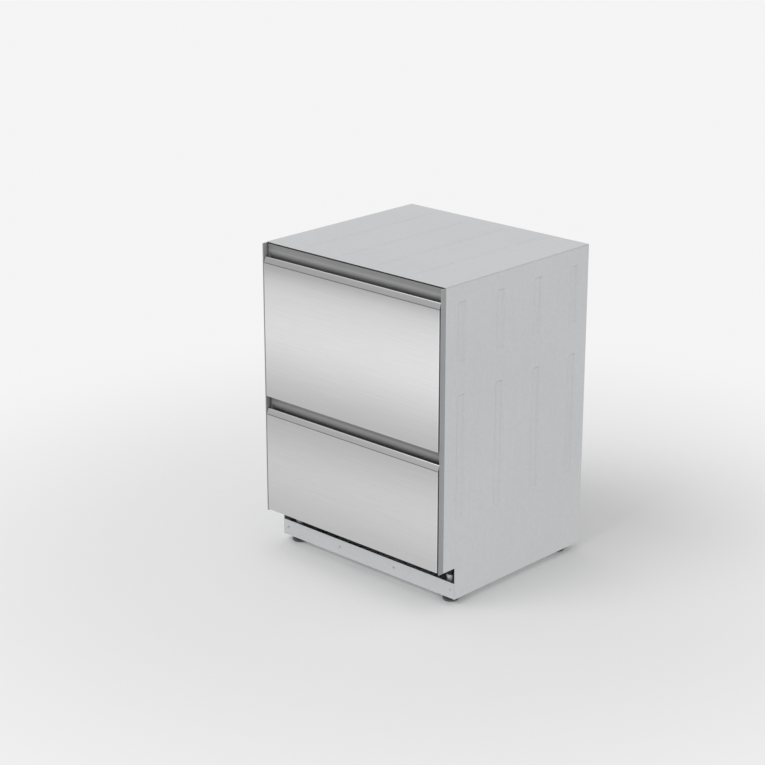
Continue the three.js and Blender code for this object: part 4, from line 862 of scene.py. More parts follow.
def screw_head(mesh: Mesh, centre: Point, axis: Point, radius: float = 3.6, height: float = 1.8) -> None:
    """Add a pan-headed screw with a round drive recess.

    Args:
        mesh: the bmesh to add to.
        centre: the middle of its seat.
        axis: direction that its head looks in.
        radius: of the head.
        height: of the head.
    """
    profile = ((0, 0.35), (0.38, 0.35), (0.42, 1), (0.62, 1), (0.86, 0.8), (1, 0.35), (1, 0))
    turned(mesh, [(radius * out, height * up) for out, up in profile], centre, 24, axis)


# ---- Pieces ----
BODIES: dict[str, list[str]] = frame["record"]["behaviour"]["bodies"]


def body_of(node: str) -> str:
    """The body that a node belongs to."""
    return next(body for body, members in BODIES.items() if node in members)


class Workshop:
    """Turns bmeshes into dressed pieces that ride on their bodies."""

    def __init__(self, finishes: dict[str, Finish]) -> None:
        """Keep the finishes.

        Args:
            finishes: each one by its key; it is built the first time that it is asked for.
        """
        self.finishes = finishes
        self.made: dict[str, bpy.types.Material] = {}

    def material(self, finish: str) -> bpy.types.Material:
        """The material of a finish.

        Args:
            finish: its key.

        Returns:
            The material.
        """
        if finish not in self.made:
            self.made[finish] = self.finishes[finish].build()
        return self.made[finish]

    def piece(self, name: str, mesh: Mesh, finish: str, body: str, stands_for: Sequence[str] = (),
              lift: float = 0.0, smooth: float = 35.0) -> None:
        """Make a finished piece.

        Args:
            name: the piece's name.
            mesh: its shape in millimetres; it is used up.
            finish: key of its finish.
            body: the body that it rides on.
            stands_for: nodes that it replaces.
            lift: millimetres to raise it by.
            smooth: degrees up to which shading is smooth.
        """
        place = Matrix.Scale(MM, 4) @ Matrix.Translation((0, 0, lift))
        bmesh.ops.transform(mesh, matrix=place, verts=mesh.verts)
        bmesh.ops.recalc_face_normals(mesh, faces=mesh.faces)
        data = bpy.data.meshes.new(name)
        mesh.to_mesh(data)
        mesh.free()
        data.shade_smooth()
        data.set_sharp_from_angle(angle=math.radians(smooth))
        data.materials.append(self.material(finish))
        made = bpy.data.objects.new(name, data)
        bpy.context.scene.collection.objects.link(made)
        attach(made, body)
        if stands_for:
            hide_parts(*stands_for)
        LOG.info("%s: %d faces on %s", name, len(data.polygons), body)

    def softened(self, node: str, finish: str, width: float = 0.4, segments: int = 2,
                 sharp: float = 32.0) -> None:
        """Replace a node by a copy of itself with rounded edges.

        Args:
            node: the node's name.
            finish: key of its finish.
            width: size of the round in millimetres.
            segments: rings along the round.
            sharp: degrees above which an edge is rounded.
        """
        mesh = copied(node)
        bevelled(mesh, width, segments, sharp)
        self.piece(node + "_shape", mesh, finish, body_of(node), (node,))


# ---- Sub-assemblies ----
@dataclass
class Assembly:
    """A group of pieces, with heights measured from the floor or from the lip top of its drawer."""

    shop: Workshop

    def build(self) -> None:
        """Make every piece of the group."""
        raise NotImplementedError


@dataclass
class DrawerAssembly(Assembly):
    """A group of pieces at one drawer's level."""

    level: Level

    @property
    def lift(self) -> float:
        """Height of the drawer's lip top."""
        return self.level.lip

    def node(self, name: str) -> str:
        """The full name of a node at this level."""
        return f"{self.level.label}_{name}"

    def add(self, name: str, mesh: Mesh, finish: str, replaced: bool = True,
            rides_with: Optional[str] = None, smooth: float = 35.0) -> None:
        """Make a piece of this level.

        Args:
            name: the node that it stands for, or its own name.
            mesh: its shape.
            finish: key of its finish.
            replaced: whether it stands for the node of its name.
            rides_with: node whose body carries it, if that isn't the one of its name.
            smooth: degrees up to which shading is smooth.
        """
        node = self.node(name)
        stands_for = (node,) if replaced else ()
        self.shop.piece(node + "_shape", mesh, finish, body_of(self.node(rides_with or name)), stands_for,
                        self.lift, smooth)


@dataclass
class SteelFront(DrawerAssembly):
    """Folded steel front: flat face, creased and leaning lip, returns at the sides and bottom."""

    front: float = -285.5
    half: float = 294.5
    sheet: float = 1.2
    corner: float = 1.5
    crease: float = 15.0
    crease_height: float = 1.6
    crease_depth: float = 0.7
    crease_slope: float = 0.35
    crease_end: float = 5.0
    lean: float = 5.0
    lip_round: float = 2.0
    fold: float = 42.0
    depth: float = 18.0
    hem: float = 10.0
    bend_steps: int = 10
    corner_steps: int = 4

    def build(self) -> None:
        """Make the front panel."""
        mesh = bmesh.new()
        self.shell(mesh)
        self.press_crease(mesh)
        self.open_back(mesh)
        thickened(mesh, self.sheet, lambda face: face.calc_area(), (0, -1, 0))
        self.add("front_panel", mesh, self.level.label + "_front", smooth=40)

    def shell(self, mesh: Mesh) -> None:
        """Closed outer form of the front, with rounded bends.

        Args:
            mesh: the bmesh to add to.
        """
        bottom = self.level.front_bottom - self.level.lip
        slope = self.lean / (self.crease - self.lip_round)
        half_crease = self.crease_height / 2
        top = -self.lip_round
        turns = spread(0, math.pi, self.bend_steps + 1)
        bend = [(self.lean + self.lip_round * (1 - math.cos(turn)), top + self.lip_round * math.sin(turn))
                for turn in turns]
        section = [(self.depth, bottom), (0, bottom), (0, -self.crease - half_crease),
                   (slope * half_crease, -self.crease + half_crease), *bend,
                   (self.lean + 2 * self.lip_round, -self.fold), (self.depth, -self.fold)]
        corners = [(-self.half + self.corner, self.front + out, height) for out, height in section]
        bar(mesh, corners, (2 * (self.half - self.corner), 0, 0))
        bmesh.ops.recalc_face_normals(mesh, faces=mesh.faces)
        ends = [f for f in mesh.faces if abs(f.normal.x) > 0.99]
        inward, outward = 0.0, 0.0
        for turn in spread(0, math.pi / 2, self.corner_steps + 1)[1:]:
            inset, rise = self.corner * (1 - math.cos(turn)), self.corner * math.sin(turn)
            bmesh.ops.inset_region(mesh, faces=ends, thickness=inset - inward, depth=rise - outward,
                                   use_even_offset=True)
            inward, outward = inset, rise

    def press_crease(self, mesh: Mesh) -> None:
        """Press the narrow crease into the foot of the lip, short of both ends.

        Args:
            mesh: the bmesh to change.
        """
        end = self.half - self.crease_end
        for x in (-end, end):
            cut(mesh, [self.crease_strip(mesh)], 0, x)
        bmesh.ops.inset_region(mesh, faces=[self.crease_strip(mesh)], thickness=self.crease_slope,
                               depth=-self.crease_depth, use_even_offset=True)

    def crease_strip(self, mesh: Mesh) -> Face:
        """The longest face at the height of the crease.

        Args:
            mesh: the bmesh to look in.

        Returns:
            The face.
        """
        strips = [f for f in mesh.faces if abs(f.calc_center_median().z + self.crease) < 0.2
                  and f.calc_center_median().y < self.front + 1]
        return max(strips, key=lambda f: f.calc_area())

    def open_back(self, mesh: Mesh) -> None:
        """Open the back inside its hem, and the gap behind the lip.

        Args:
            mesh: the bmesh to change.
        """
        back = self.front + self.depth
        rear = [f for f in mesh.faces if all(abs(v.co.y - back) < 0.01 for v in f.verts)]
        hem = bmesh.ops.inset_region(mesh, faces=rear, thickness=self.hem, depth=0, use_even_offset=True)
        top = [f for f in hem["faces"] if f.calc_center_median().z > -self.fold - self.hem]
        shelf = [f for f in mesh.faces if all(abs(v.co.z + self.fold) < 0.01 for v in f.verts)]
        bmesh.ops.delete(mesh, geom=rear + top + shelf, context="FACES")


@dataclass
class GripFascia(DrawerAssembly):
    """Grey moulding behind the lip, with a cheek that closes each end of its cove, and its two buttons."""

    half: float = 293.5
    cheek: float = 2.0
    outline: tuple[tuple[float, float], ...] = (
        (-269, 19), (-269, -29), (-248.5, -29), (-248.5, -12), (-261, 1), (-266.5, 13))

    def build(self) -> None:
        """Make the fascia, its cheeks and the buttons."""
        self.shop.softened(self.node("grip_fascia"), self.level.label + "_grip", 0.4, 2, 40)
        self.cheeks()
        for name in ("power_button", "start_button"):
            self.shop.softened(self.node(name), "dark_plastic", 0.35, 3, 25)

    def cheeks(self) -> None:
        """Make the two end walls of the cove."""
        mesh = bmesh.new()
        for side in Side:
            section = [(side.value * self.half, y, z) for y, z in self.outline]
            bar(mesh, section, (-side.value * self.cheek, 0, 0))
        bevelled(mesh, 0.4, 2)
        self.shop.piece(self.node("grip_cheeks"), mesh, self.level.label + "_grip",
                        body_of(self.node("grip_fascia")), lift=self.lift)


@dataclass
class Tub(DrawerAssembly):
    """Deep moulded tub with a flanged rim, a sump and the mouldings that carry rails, front and rack."""

    half: float = 270.0
    front: float = -236.0
    back: float = 236.3
    wall: float = 3.0
    corner: float = 45.0
    rim: float = 10.0
    rim_top: float = 1.0
    rim_thickness: float = 3.0
    bottom: float = -265.0
    bottom_round: float = 24.0
    sump_radius: float = 66.0
    sump_depth: float = 20.0
    floor_fall: float = 0.8
    rail_z: float = -200.0
    boss_half: float = 11.5
    boss_reach: float = 285.7
    boss_webs: int = 5
    bracket_reach: float = -284.0
    bracket_width: float = 32.0
    bracket_top: float = -46.0
    ledge_height: float = 44.0
    ledge_half: float = 20.0
    rib: float = 3.0
    corner_steps: int = 11
    foot_steps: int = 6

    def build(self) -> None:
        """Make the tub."""
        mesh = bmesh.new()
        self.shell(mesh)
        details = bmesh.new()
        for side in Side:
            self.rail_bosses(details, side)
            self.front_bracket(details, side)
            self.rack_ledges(details, side)
        attached(mesh, details, 0.5, 2)
        self.add("tub", mesh, "tub_plastic")

    def ring(self, mesh: Mesh, out: float, z: float, radius: float) -> Edges:
        """A loop of the tub's plan, moved outwards.

        Args:
            mesh: the bmesh to add to.
            out: how far outside the outer wall it lies.
            z: its height.
            radius: of its corners.

        Returns:
            Its edges.
        """
        return ring_loop(mesh, (-self.half - out, self.half + out), (self.front - out, self.back + out), z,
                         radius, self.corner_steps)

    def rounding(self, mesh: Mesh, out: float, floor: float, radius: float, corner: float) -> list[Edges]:
        """Loops down a wall's foot and round into the floor.

        Args:
            mesh: the bmesh to add to.
            out: how far outside the outer wall the wall lies.
            floor: height of the floor.
            radius: of the round between wall and floor.
            corner: radius of the wall's corners in plan.

        Returns:
            The edges of each loop, from the wall to the floor.
        """
        loops = []
        for turn in spread(0, math.pi / 2, self.foot_steps + 1):
            inward = radius * (1 - math.cos(turn))
            height = floor + radius * (1 - math.sin(turn))
            loops.append(self.ring(mesh, out - inward, height, max(corner - inward, 4)))
        return loops

    def round_loop(self, mesh: Mesh, radius: float, z: float) -> Edges:
        """A level circle about the sump's axis with as many corners as the plan's loops.

        Args:
            mesh: the bmesh to add to.
            radius: of the circle.
            z: its height.

        Returns:
            Its edges.
        """
        sides = 4 * (self.corner_steps + 1)
        turn = Matrix.Rotation(math.pi / sides, 4, "Z")
        return circle(mesh, radius, sides, Matrix.Translation((0, 0, z)) @ turn)

    def shell(self, mesh: Mesh) -> None:
        """Outer wall, flanged rim, inner wall, floor and sump as one skin.

        Args:
            mesh: the bmesh to add to.
        """
        under, top, rim = self.rim_top - self.rim_thickness, self.rim_top, self.rim
        outer, inner, rim_corner = self.corner, self.corner - self.wall, self.corner / 2
        floor, sump_floor, sump = self.bottom + self.wall, self.bottom - self.sump_depth, self.sump_radius
        flange = ((0, under - 3, outer), (0.8, under - 0.7, outer), (3, under, outer - 2),
                  (rim - 0.5, under + FALL, rim_corner), (rim, under + 0.6, rim_corner),
                  (rim, top - 0.8, rim_corner), (rim - 0.8, top, rim_corner - 0.8),
                  (0, top - FALL, inner + 2), (-1.6, top - 0.4, inner + 1), (-2.6, top - 1.4, inner),
                  (-self.wall, top - 3, inner))
        well = ((sump + 5, floor - self.floor_fall), (sump + 1.5, floor - self.floor_fall - 1),
                (sump, floor - 5), (sump, sump_floor + self.wall + 4), (sump - 4, sump_floor + self.wall))
        loops = [self.round_loop(mesh, sump + self.wall, z)
                 for z in (sump_floor, self.bottom - self.floor_fall)]
        loops += reversed(self.rounding(mesh, 0, self.bottom, self.bottom_round, outer))
        loops += [self.ring(mesh, *place) for place in flange]
        loops += self.rounding(mesh, -self.wall, floor, self.bottom_round - self.wall, inner)
        loops += [self.round_loop(mesh, *place) for place in well]
        lofted(mesh, loops)

    def rail_bosses(self, mesh: Mesh, side: Side) -> None:
        """Two long ribs with webs between them, which the inner rail is screwed to.

        Args:
            mesh: the bmesh to add to.
            side: the side of the tub.
        """
        x = side.reach(self.half - 1, self.boss_reach)
        y0, y1 = self.front + self.corner, self.back - self.corner
        for height in (-self.boss_half, self.boss_half - self.rib):
            block(mesh, x, (y0, y1), (self.rail_z + height, self.rail_z + height + self.rib))
        for y in spread(y0, y1 - self.rib, self.boss_webs):
            block(mesh, x, (y, y + self.rib), around(self.rail_z, 2 * self.boss_half))

    def front_bracket(self, mesh: Mesh, side: Side) -> None:
        """Upright channel that the front panel is screwed to.

        Args:
            mesh: the bmesh to add to.
            side: the side of the tub.
        """
        reach = self.bracket_reach
        height = (self.bottom + self.bottom_round + 4, self.bracket_top)
        x0, x1 = around(side.value * self.half / 2, self.bracket_width)
        for left in (x0, x1 - self.rib):
            block(mesh, (left, left + self.rib), (reach, self.front + 1), height)
        block(mesh, (x0, x1), (reach, reach + self.rib), height)

    def rack_ledges(self, mesh: Mesh, side: Side) -> None:
        """Wedge-shaped shelves that the rack's frame stands on.

        Args:
            mesh: the bmesh to add to.
            side: the side of the tub.
        """
        inner = self.half - self.wall
        top = self.bottom + self.wall + self.ledge_height
        section = ((inner + 1, top - 14), (inner + 1, top), (inner - 10, top), (inner - 10, top - 2),
                   (inner, top - 14))
        for y in RackWires.ledge_middles():
            corners = [(side.value * x, y - self.ledge_half, z) for x, z in section]
            bar(mesh, corners, (0, 2 * self.ledge_half, 0))


@dataclass
class RackWires(DrawerAssembly):
    """Dish rack, fold-down tines and cup shelf, bent from coated wire."""

    half: float = 262.0
    front: float = -205.0
    back: float = 228.3
    bottom: float = -215.7
    top: float = -59.0
    frame_wire: float = 4.0
    wire: float = 3.0
    weld: float = 0.7
    frame_bend: float = 42.0
    floor_z: float = -225.7
    long_z: float = -223.4
    axle_z: float = -220.1
    fold_y: float = 11.65
    fixed_y: float = 106.65
    tine_height: float = 72.0
    tine_pitch: float = 34.0
    tine_first: float = -147.0
    tine_count: int = 10
    lean: float = 8.0
    hinge_x: float = -255.0
    hinge_z: float = -94.0
    shelf_width: float = 88.0
    clip_length: float = 8.0
    clip_radius: float = 4.0
    ear_radius: float = 4.4
    play: float = 0.3

    @staticmethod
    def cross_ys() -> list[float]:
        """Where the wires across the rack lie."""
        return spread(-171.0, 194.3, 6)

    @staticmethod
    def long_xs() -> list[float]:
        """Where the wires from front to back lie."""
        return spread(-200.0, 200.0, 6)

    @staticmethod
    def ledge_middles() -> list[float]:
        """Where the tub's ledges carry the rack."""
        ys = RackWires.cross_ys()
        return [(ys[1] + ys[2]) / 2, (ys[-2] + ys[-3]) / 2]

    @property
    def inset(self) -> float:
        """How far inside the frame wire's middle the thinner wires' middles lie."""
        return self.frame_wire / 2 + self.wire / 2 - self.weld

    def tine_xs(self) -> list[float]:
        """Where the tines stand."""
        return [self.tine_first + i * self.tine_pitch for i in range(self.tine_count)]

    def tined_xs(self) -> list[float]:
        """The long wires that cross the rows of tines."""
        first, last = self.tine_xs()[0], self.tine_xs()[-1]
        return [x for x in self.long_xs() if first - 24 < x < last + 24]

    def build(self) -> None:
        """Make the rack, the fold-down row and the shelf."""
        self.rack()
        self.fold_row()
        self.shelf()

    def loop(self, mesh: Mesh, z: float) -> None:
        """Frame wire round the rack.

        Args:
            mesh: the bmesh to add to.
            z: its height.
        """
        bend = self.frame_bend
        x, y0, y1 = self.half - bend, self.front + bend, self.back - bend
        path = []
        for middle_x, middle_y, start in ((x, y1, 0), (-x, y1, 90), (-x, y0, 180), (x, y0, 270)):
            for turn in spread(math.radians(start), math.radians(start + 90), 9):
                path.append(Vector((middle_x + bend * math.cos(turn), middle_y + bend * math.sin(turn), z)))
        swept(mesh, path, self.frame_wire / 2, 12, closed=True)

    def wire_along(self, mesh: Mesh, corners: Sequence[Point], bend: float = 8.0) -> None:
        """A bent wire."""
        swept(mesh, fillet(corners, bend), self.wire / 2, 10)

    def trough(self, near: float, far: float, low: float) -> list[tuple[float, float]]:
        """Corners of a wire that runs down one wall, along the floor and up the other.

        Args:
            near: place of the first wall.
            far: place of the second wall.
            low: height of the wire on the floor.

        Returns:
            Pairs of a place and a height.
        """
        rise = self.bottom - low
        return [(near, self.top), (near, self.bottom), (near + rise, low), (far - rise, low),
                (far, self.bottom), (far, self.top)]

    def rack(self) -> None:
        """Basket of wires with its fixed row of tines and the moulded clips."""
        mesh = bmesh.new()
        self.loop(mesh, self.bottom)
        self.loop(mesh, self.top)
        side = self.half - self.inset
        for y in self.cross_ys():
            self.wire_along(mesh, [(x, y, z) for x, z in self.trough(-side, side, self.floor_z)])
        near, far = self.front + self.inset, self.back - self.inset
        for x in self.long_xs():
            self.wire_along(mesh, [(x, y, z) for y, z in self.trough(near, far, self.long_z)])
        row_z = self.long_z + self.wire - self.weld
        first, last = self.tine_xs()[0] - 20, self.tine_xs()[-1] + 20
        self.wire_along(mesh, [(first, self.fixed_y, row_z), (last, self.fixed_y, row_z)])
        for x in self.tine_xs():
            self.tine(mesh, x, self.fixed_y, row_z)
        self.clips(mesh)
        self.hooks(mesh)
        self.add("dish_rack", mesh, "coated_wire", smooth=50)

    def tine(self, mesh: Mesh, x: float, y: float, z: float) -> None:
        """A leaning tine with a domed tip.

        Args:
            mesh: the bmesh to add to.
            x: place of its foot along X.
            y: place of its foot along Y.
            z: height of its foot.
        """
        lean = math.radians(self.lean)
        foot = Vector((x, y, z))
        tip = foot + self.tine_height * Vector((0, math.sin(lean), math.cos(lean)))
        swept(mesh, [foot, foot.lerp(tip, 0.5), tip], self.wire / 2, 10)

    def sleeve(self, mesh: Mesh, centre: Point, axis: Point, radius: float) -> None:
        """Ring of a clip round a wire, bored through.

        Args:
            mesh: the bmesh to add to.
            centre: its middle.
            axis: the wire's direction.
            radius: of the ring.
        """
        bore, end, edge = self.wire / 2 + self.play, self.clip_length / 2, 0.4
        profile = [(bore, -end), (radius - edge, -end), (radius, -end + edge), (radius, end - edge),
                   (radius - edge, end), (bore, end), (bore, -end)]
        turned(mesh, profile, centre, 28, axis)

    def clips(self, mesh: Mesh) -> None:
        """Clips that hold the fold-down row's axle on the floor wires.

        Args:
            mesh: the bmesh to add to.
        """
        for x in (self.tined_xs()[0], self.tined_xs()[-1]):
            self.sleeve(mesh, (x, self.fold_y, self.axle_z), (1, 0, 0), self.clip_radius)
            extra = bmesh.new()
            for y in (self.fold_y - 4.4, self.fold_y + 2.6):
                block(extra, around(x, self.clip_length), (y, y + 1.8), (self.long_z - 1, self.axle_z))
            attached(mesh, extra, 0.4, 2)

    def hooks(self, mesh: Mesh) -> None:
        """Ears round the shelf's hinge wire, each with a ledge under the shelf.

        Args:
            mesh: the bmesh to add to.
        """
        wall = self.inset - self.half
        ys = self.cross_ys()
        for y in (ys[1], ys[-2]):
            self.sleeve(mesh, (self.hinge_x, y, self.hinge_z), ALONG_Y, self.ear_radius)
            extra = bmesh.new()
            block(extra, (wall - 1, wall + 2.4), around(y, self.clip_length), around(self.hinge_z, 9))
            block(extra, (wall, self.hinge_x + 13.5), around(y, 20),
                  (self.hinge_z - 5.5, self.hinge_z - 1.8))
            attached(mesh, extra, 0.6, 2)

    def fold_row(self) -> None:
        """Axle with leaning tines."""
        mesh = bmesh.new()
        clips, tines = self.tined_xs(), self.tine_xs()
        first, last = min(tines[0], clips[0]) - 10, max(tines[-1], clips[-1]) + 10
        self.wire_along(mesh, [(first, self.fold_y, self.axle_z), (last, self.fold_y, self.axle_z)])
        clear = self.clip_length / 2 + self.wire / 2 + self.play
        for x in tines:
            if all(abs(clip - x) > clear for clip in clips):
                self.tine(mesh, x, self.fold_y, self.axle_z)
        self.add("fold_tines", mesh, "coated_wire", smooth=50)

    def shelf(self) -> None:
        """Folding shelf for cups."""
        mesh = bmesh.new()
        ys = self.cross_ys()
        y0, y1 = ys[1] - 8, ys[-2] + 8
        hinge, outer, z = self.hinge_x, self.hinge_x + self.shelf_width, self.hinge_z
        self.wire_along(mesh, [(hinge, y0, z), (hinge, y1, z)])
        self.wire_along(mesh, [(hinge, y0 + 1, z), (outer, y0 + 1, z), (outer, y1 - 1, z),
                               (hinge, y1 - 1, z)], 10)
        for y in spread(y0 + 30, y1 - 30, 5):
            self.wire_along(mesh, [(hinge, y, z), (outer, y, z)])
        self.add("cup_shelf", mesh, "coated_wire", smooth=50)


@dataclass
class CutleryBasket(DrawerAssembly):
    """Latticed cutlery basket with three bays."""

    x: Span = (185.0, 247.0)
    y: Span = (-113.35, 96.65)
    z: Span = (-221.6, -89.0)
    wall: float = 2.4
    corner: float = 8.0
    band: float = 14.0
    rib: float = 1.0
    bays: int = 3
    divider: float = 2.0
    slot_half: float = 14.0
    end_gap: float = 28.0
    end_half: float = 10.0

    def build(self) -> None:
        """Make the basket."""
        mesh = bmesh.new()
        self.shell(mesh)
        self.pierce(mesh)
        thickened(mesh, self.wall, lambda face: -face.calc_center_median().z, (0, 0, -1))
        bevelled(mesh, 0.35, 1, 50)
        extra = bmesh.new()
        for y in spread(*self.y, self.bays + 1)[1:-1]:
            block(extra, (self.x[0] + 1.2, self.x[1] - 1.2), around(y, self.divider),
                  (self.z[0] + 1, self.z[1] - 6))
        attached(mesh, extra, 0.6, 2)
        ring_wall(mesh, self.x, self.y, (self.z[1] - 5, self.z[1]), self.corner, self.wall + 0.6, 0.9)
        self.add("cutlery_basket", mesh, "basket_plastic")

    def shell(self, mesh: Mesh) -> None:
        """Open box without thickness.

        Args:
            mesh: the bmesh to add to.
        """
        floor = plan(mesh, self.x, self.y, self.z[0], self.corner, 6)
        top = raised(mesh, floor, (0, 0, self.z[1] - self.z[0]))
        lid = [f for f in top[0].link_faces if all(v in top for v in f.verts)]
        bmesh.ops.delete(mesh, geom=lid, context="FACES_ONLY")

    def pierce(self, mesh: Mesh) -> None:
        """Cut the walls and floor into cells and open most of each one.

        Args:
            mesh: the bmesh to change.
        """
        (x0, x1), (y0, y1), (z0, z1) = self.x, self.y, self.z
        slots = spread(y0 + 3 * self.corner, y1 - 3 * self.corner, 5)
        middle_x = (x0 + x1) / 2
        xs = [x for middle in around(middle_x, self.end_gap)
              for x in spread(middle - self.end_half, middle + self.end_half, 3)]
        ys = [y for middle in slots for y in spread(middle - self.slot_half, middle + self.slot_half, 4)]
        zs = spread(z0 + self.band, z1 - self.band, 9)
        for axis, values in enumerate((xs, ys, zs)):
            for value in values:
                cut(mesh, mesh.faces, axis, value)
        cells = [f for f in mesh.faces if self.opened(f, slots, middle_x)]
        bmesh.ops.inset_individual(mesh, faces=cells, thickness=self.rib, use_even_offset=True)
        bmesh.ops.delete(mesh, geom=cells, context="FACES")

    def opened(self, face: Face, slots: Sequence[float], middle_x: float) -> bool:
        """Whether a cell of the lattice is opened.

        Args:
            face: the cell.
            slots: middles of the slots along Y.
            middle_x: the basket's middle along X.

        Returns:
            True for an open cell.
        """
        centre = face.calc_center_median()
        in_slot = any(abs(centre.y - y) < self.slot_half for y in slots)
        if abs(face.normal.z) > 0.9:
            length = (self.y[1] - self.y[0]) / self.bays
            into_bay = (centre.y - self.y[0]) % length
            return in_slot and 6 < into_bay < length - 6 and abs(centre.x - middle_x) < 24
        if not self.z[0] + self.band < centre.z < self.z[1] - self.band:
            return False
        if abs(face.normal.x) > 0.9:
            return in_slot
        in_end_slot = any(abs(centre.x - x) < self.end_half for x in around(middle_x, self.end_gap))
        return abs(face.normal.y) > 0.9 and in_end_slot


@dataclass
class Dispenser(DrawerAssembly):
    """Detergent dispenser with its sliding door and rinse-aid cap."""

    half: float = 75.0
    y: Span = (-232.7, -219.7)
    z: Span = (-123.0, -39.0)
    track: float = 4.0
    cup_x: Span = (-60.5, -14.5)
    cup_margin: float = 16.0
    cup_floor: float = 2.0
    cap_radius: float = 11.05

    def build(self) -> None:
        """Make the dispenser and its door."""
        mesh = bmesh.new()
        block(mesh, (-self.half, self.half), self.y, self.z)
        self.sink_cup(mesh)
        bevelled(mesh, 0.8, 3)
        extra = bmesh.new()
        for flip in (1, -1):
            self.rail(extra, flip)
        attached(mesh, extra, 0.3, 2)
        cap = (0.75 * self.half + 1, self.y[1], (self.z[0] + self.z[1]) / 2 + 14)
        turned(mesh, [(0, 0.1), (2.4, 0.1), (2.7, 0.4), (7.6, 0.4), (8.0, -0.3), (9.2, -0.3), (9.6, 0.35),
                      (self.cap_radius, 0.1), (self.cap_radius, -1)], cap, 48, ALONG_Y)
        self.add("dispenser", mesh, "dispenser_plastic")
        self.shop.softened(self.node("dispenser_door"), "dark_plastic", 0.5, 3)

    def sink_cup(self, mesh: Mesh) -> None:
        """Sink the detergent cup into the face that looks into the tub.

        Args:
            mesh: the bmesh to change.
        """
        height = (self.z[0] + self.cup_margin, self.z[1] - self.cup_margin)
        for axis, values in ((0, self.cup_x), (2, height)):
            for value in values:
                cut(mesh, [f for f in mesh.faces if f.normal.y > 0.9], axis, value)
        centres = {f: f.calc_center_median() for f in mesh.faces if f.normal.y > 0.9}
        mouth = [f for f, centre in centres.items() if self.cup_x[0] < centre.x < self.cup_x[1]
                 and height[0] < centre.z < height[1]]
        depth = self.y[1] - self.y[0] - self.cup_floor
        for inward, down in ((1.2, 1.2), (1.0, depth - 3.2), (2.0, 2.0)):
            bmesh.ops.inset_region(mesh, faces=mouth, thickness=inward, depth=-down, use_even_offset=True)

    def rail(self, mesh: Mesh, flip: int) -> None:
        """Track that the door slides in.

        Args:
            mesh: the bmesh to add to.
            flip: 1 for the lower track, -1 for the upper one.
        """
        bed, face = self.y[1], self.y[1] + self.track
        middle = (self.z[0] + self.z[1]) / 2
        section = ((bed - 1, 0), (face - 1, 0), (face, 1), (face, 11), (face - 1, 11), (face - 1, 8),
                   (bed - 1, 8))
        base = self.z[0] - middle
        corners = [(-self.half, y, middle + flip * (base + rise)) for y, rise in section]
        bar(mesh, corners, (2 * self.half, 0, 0))


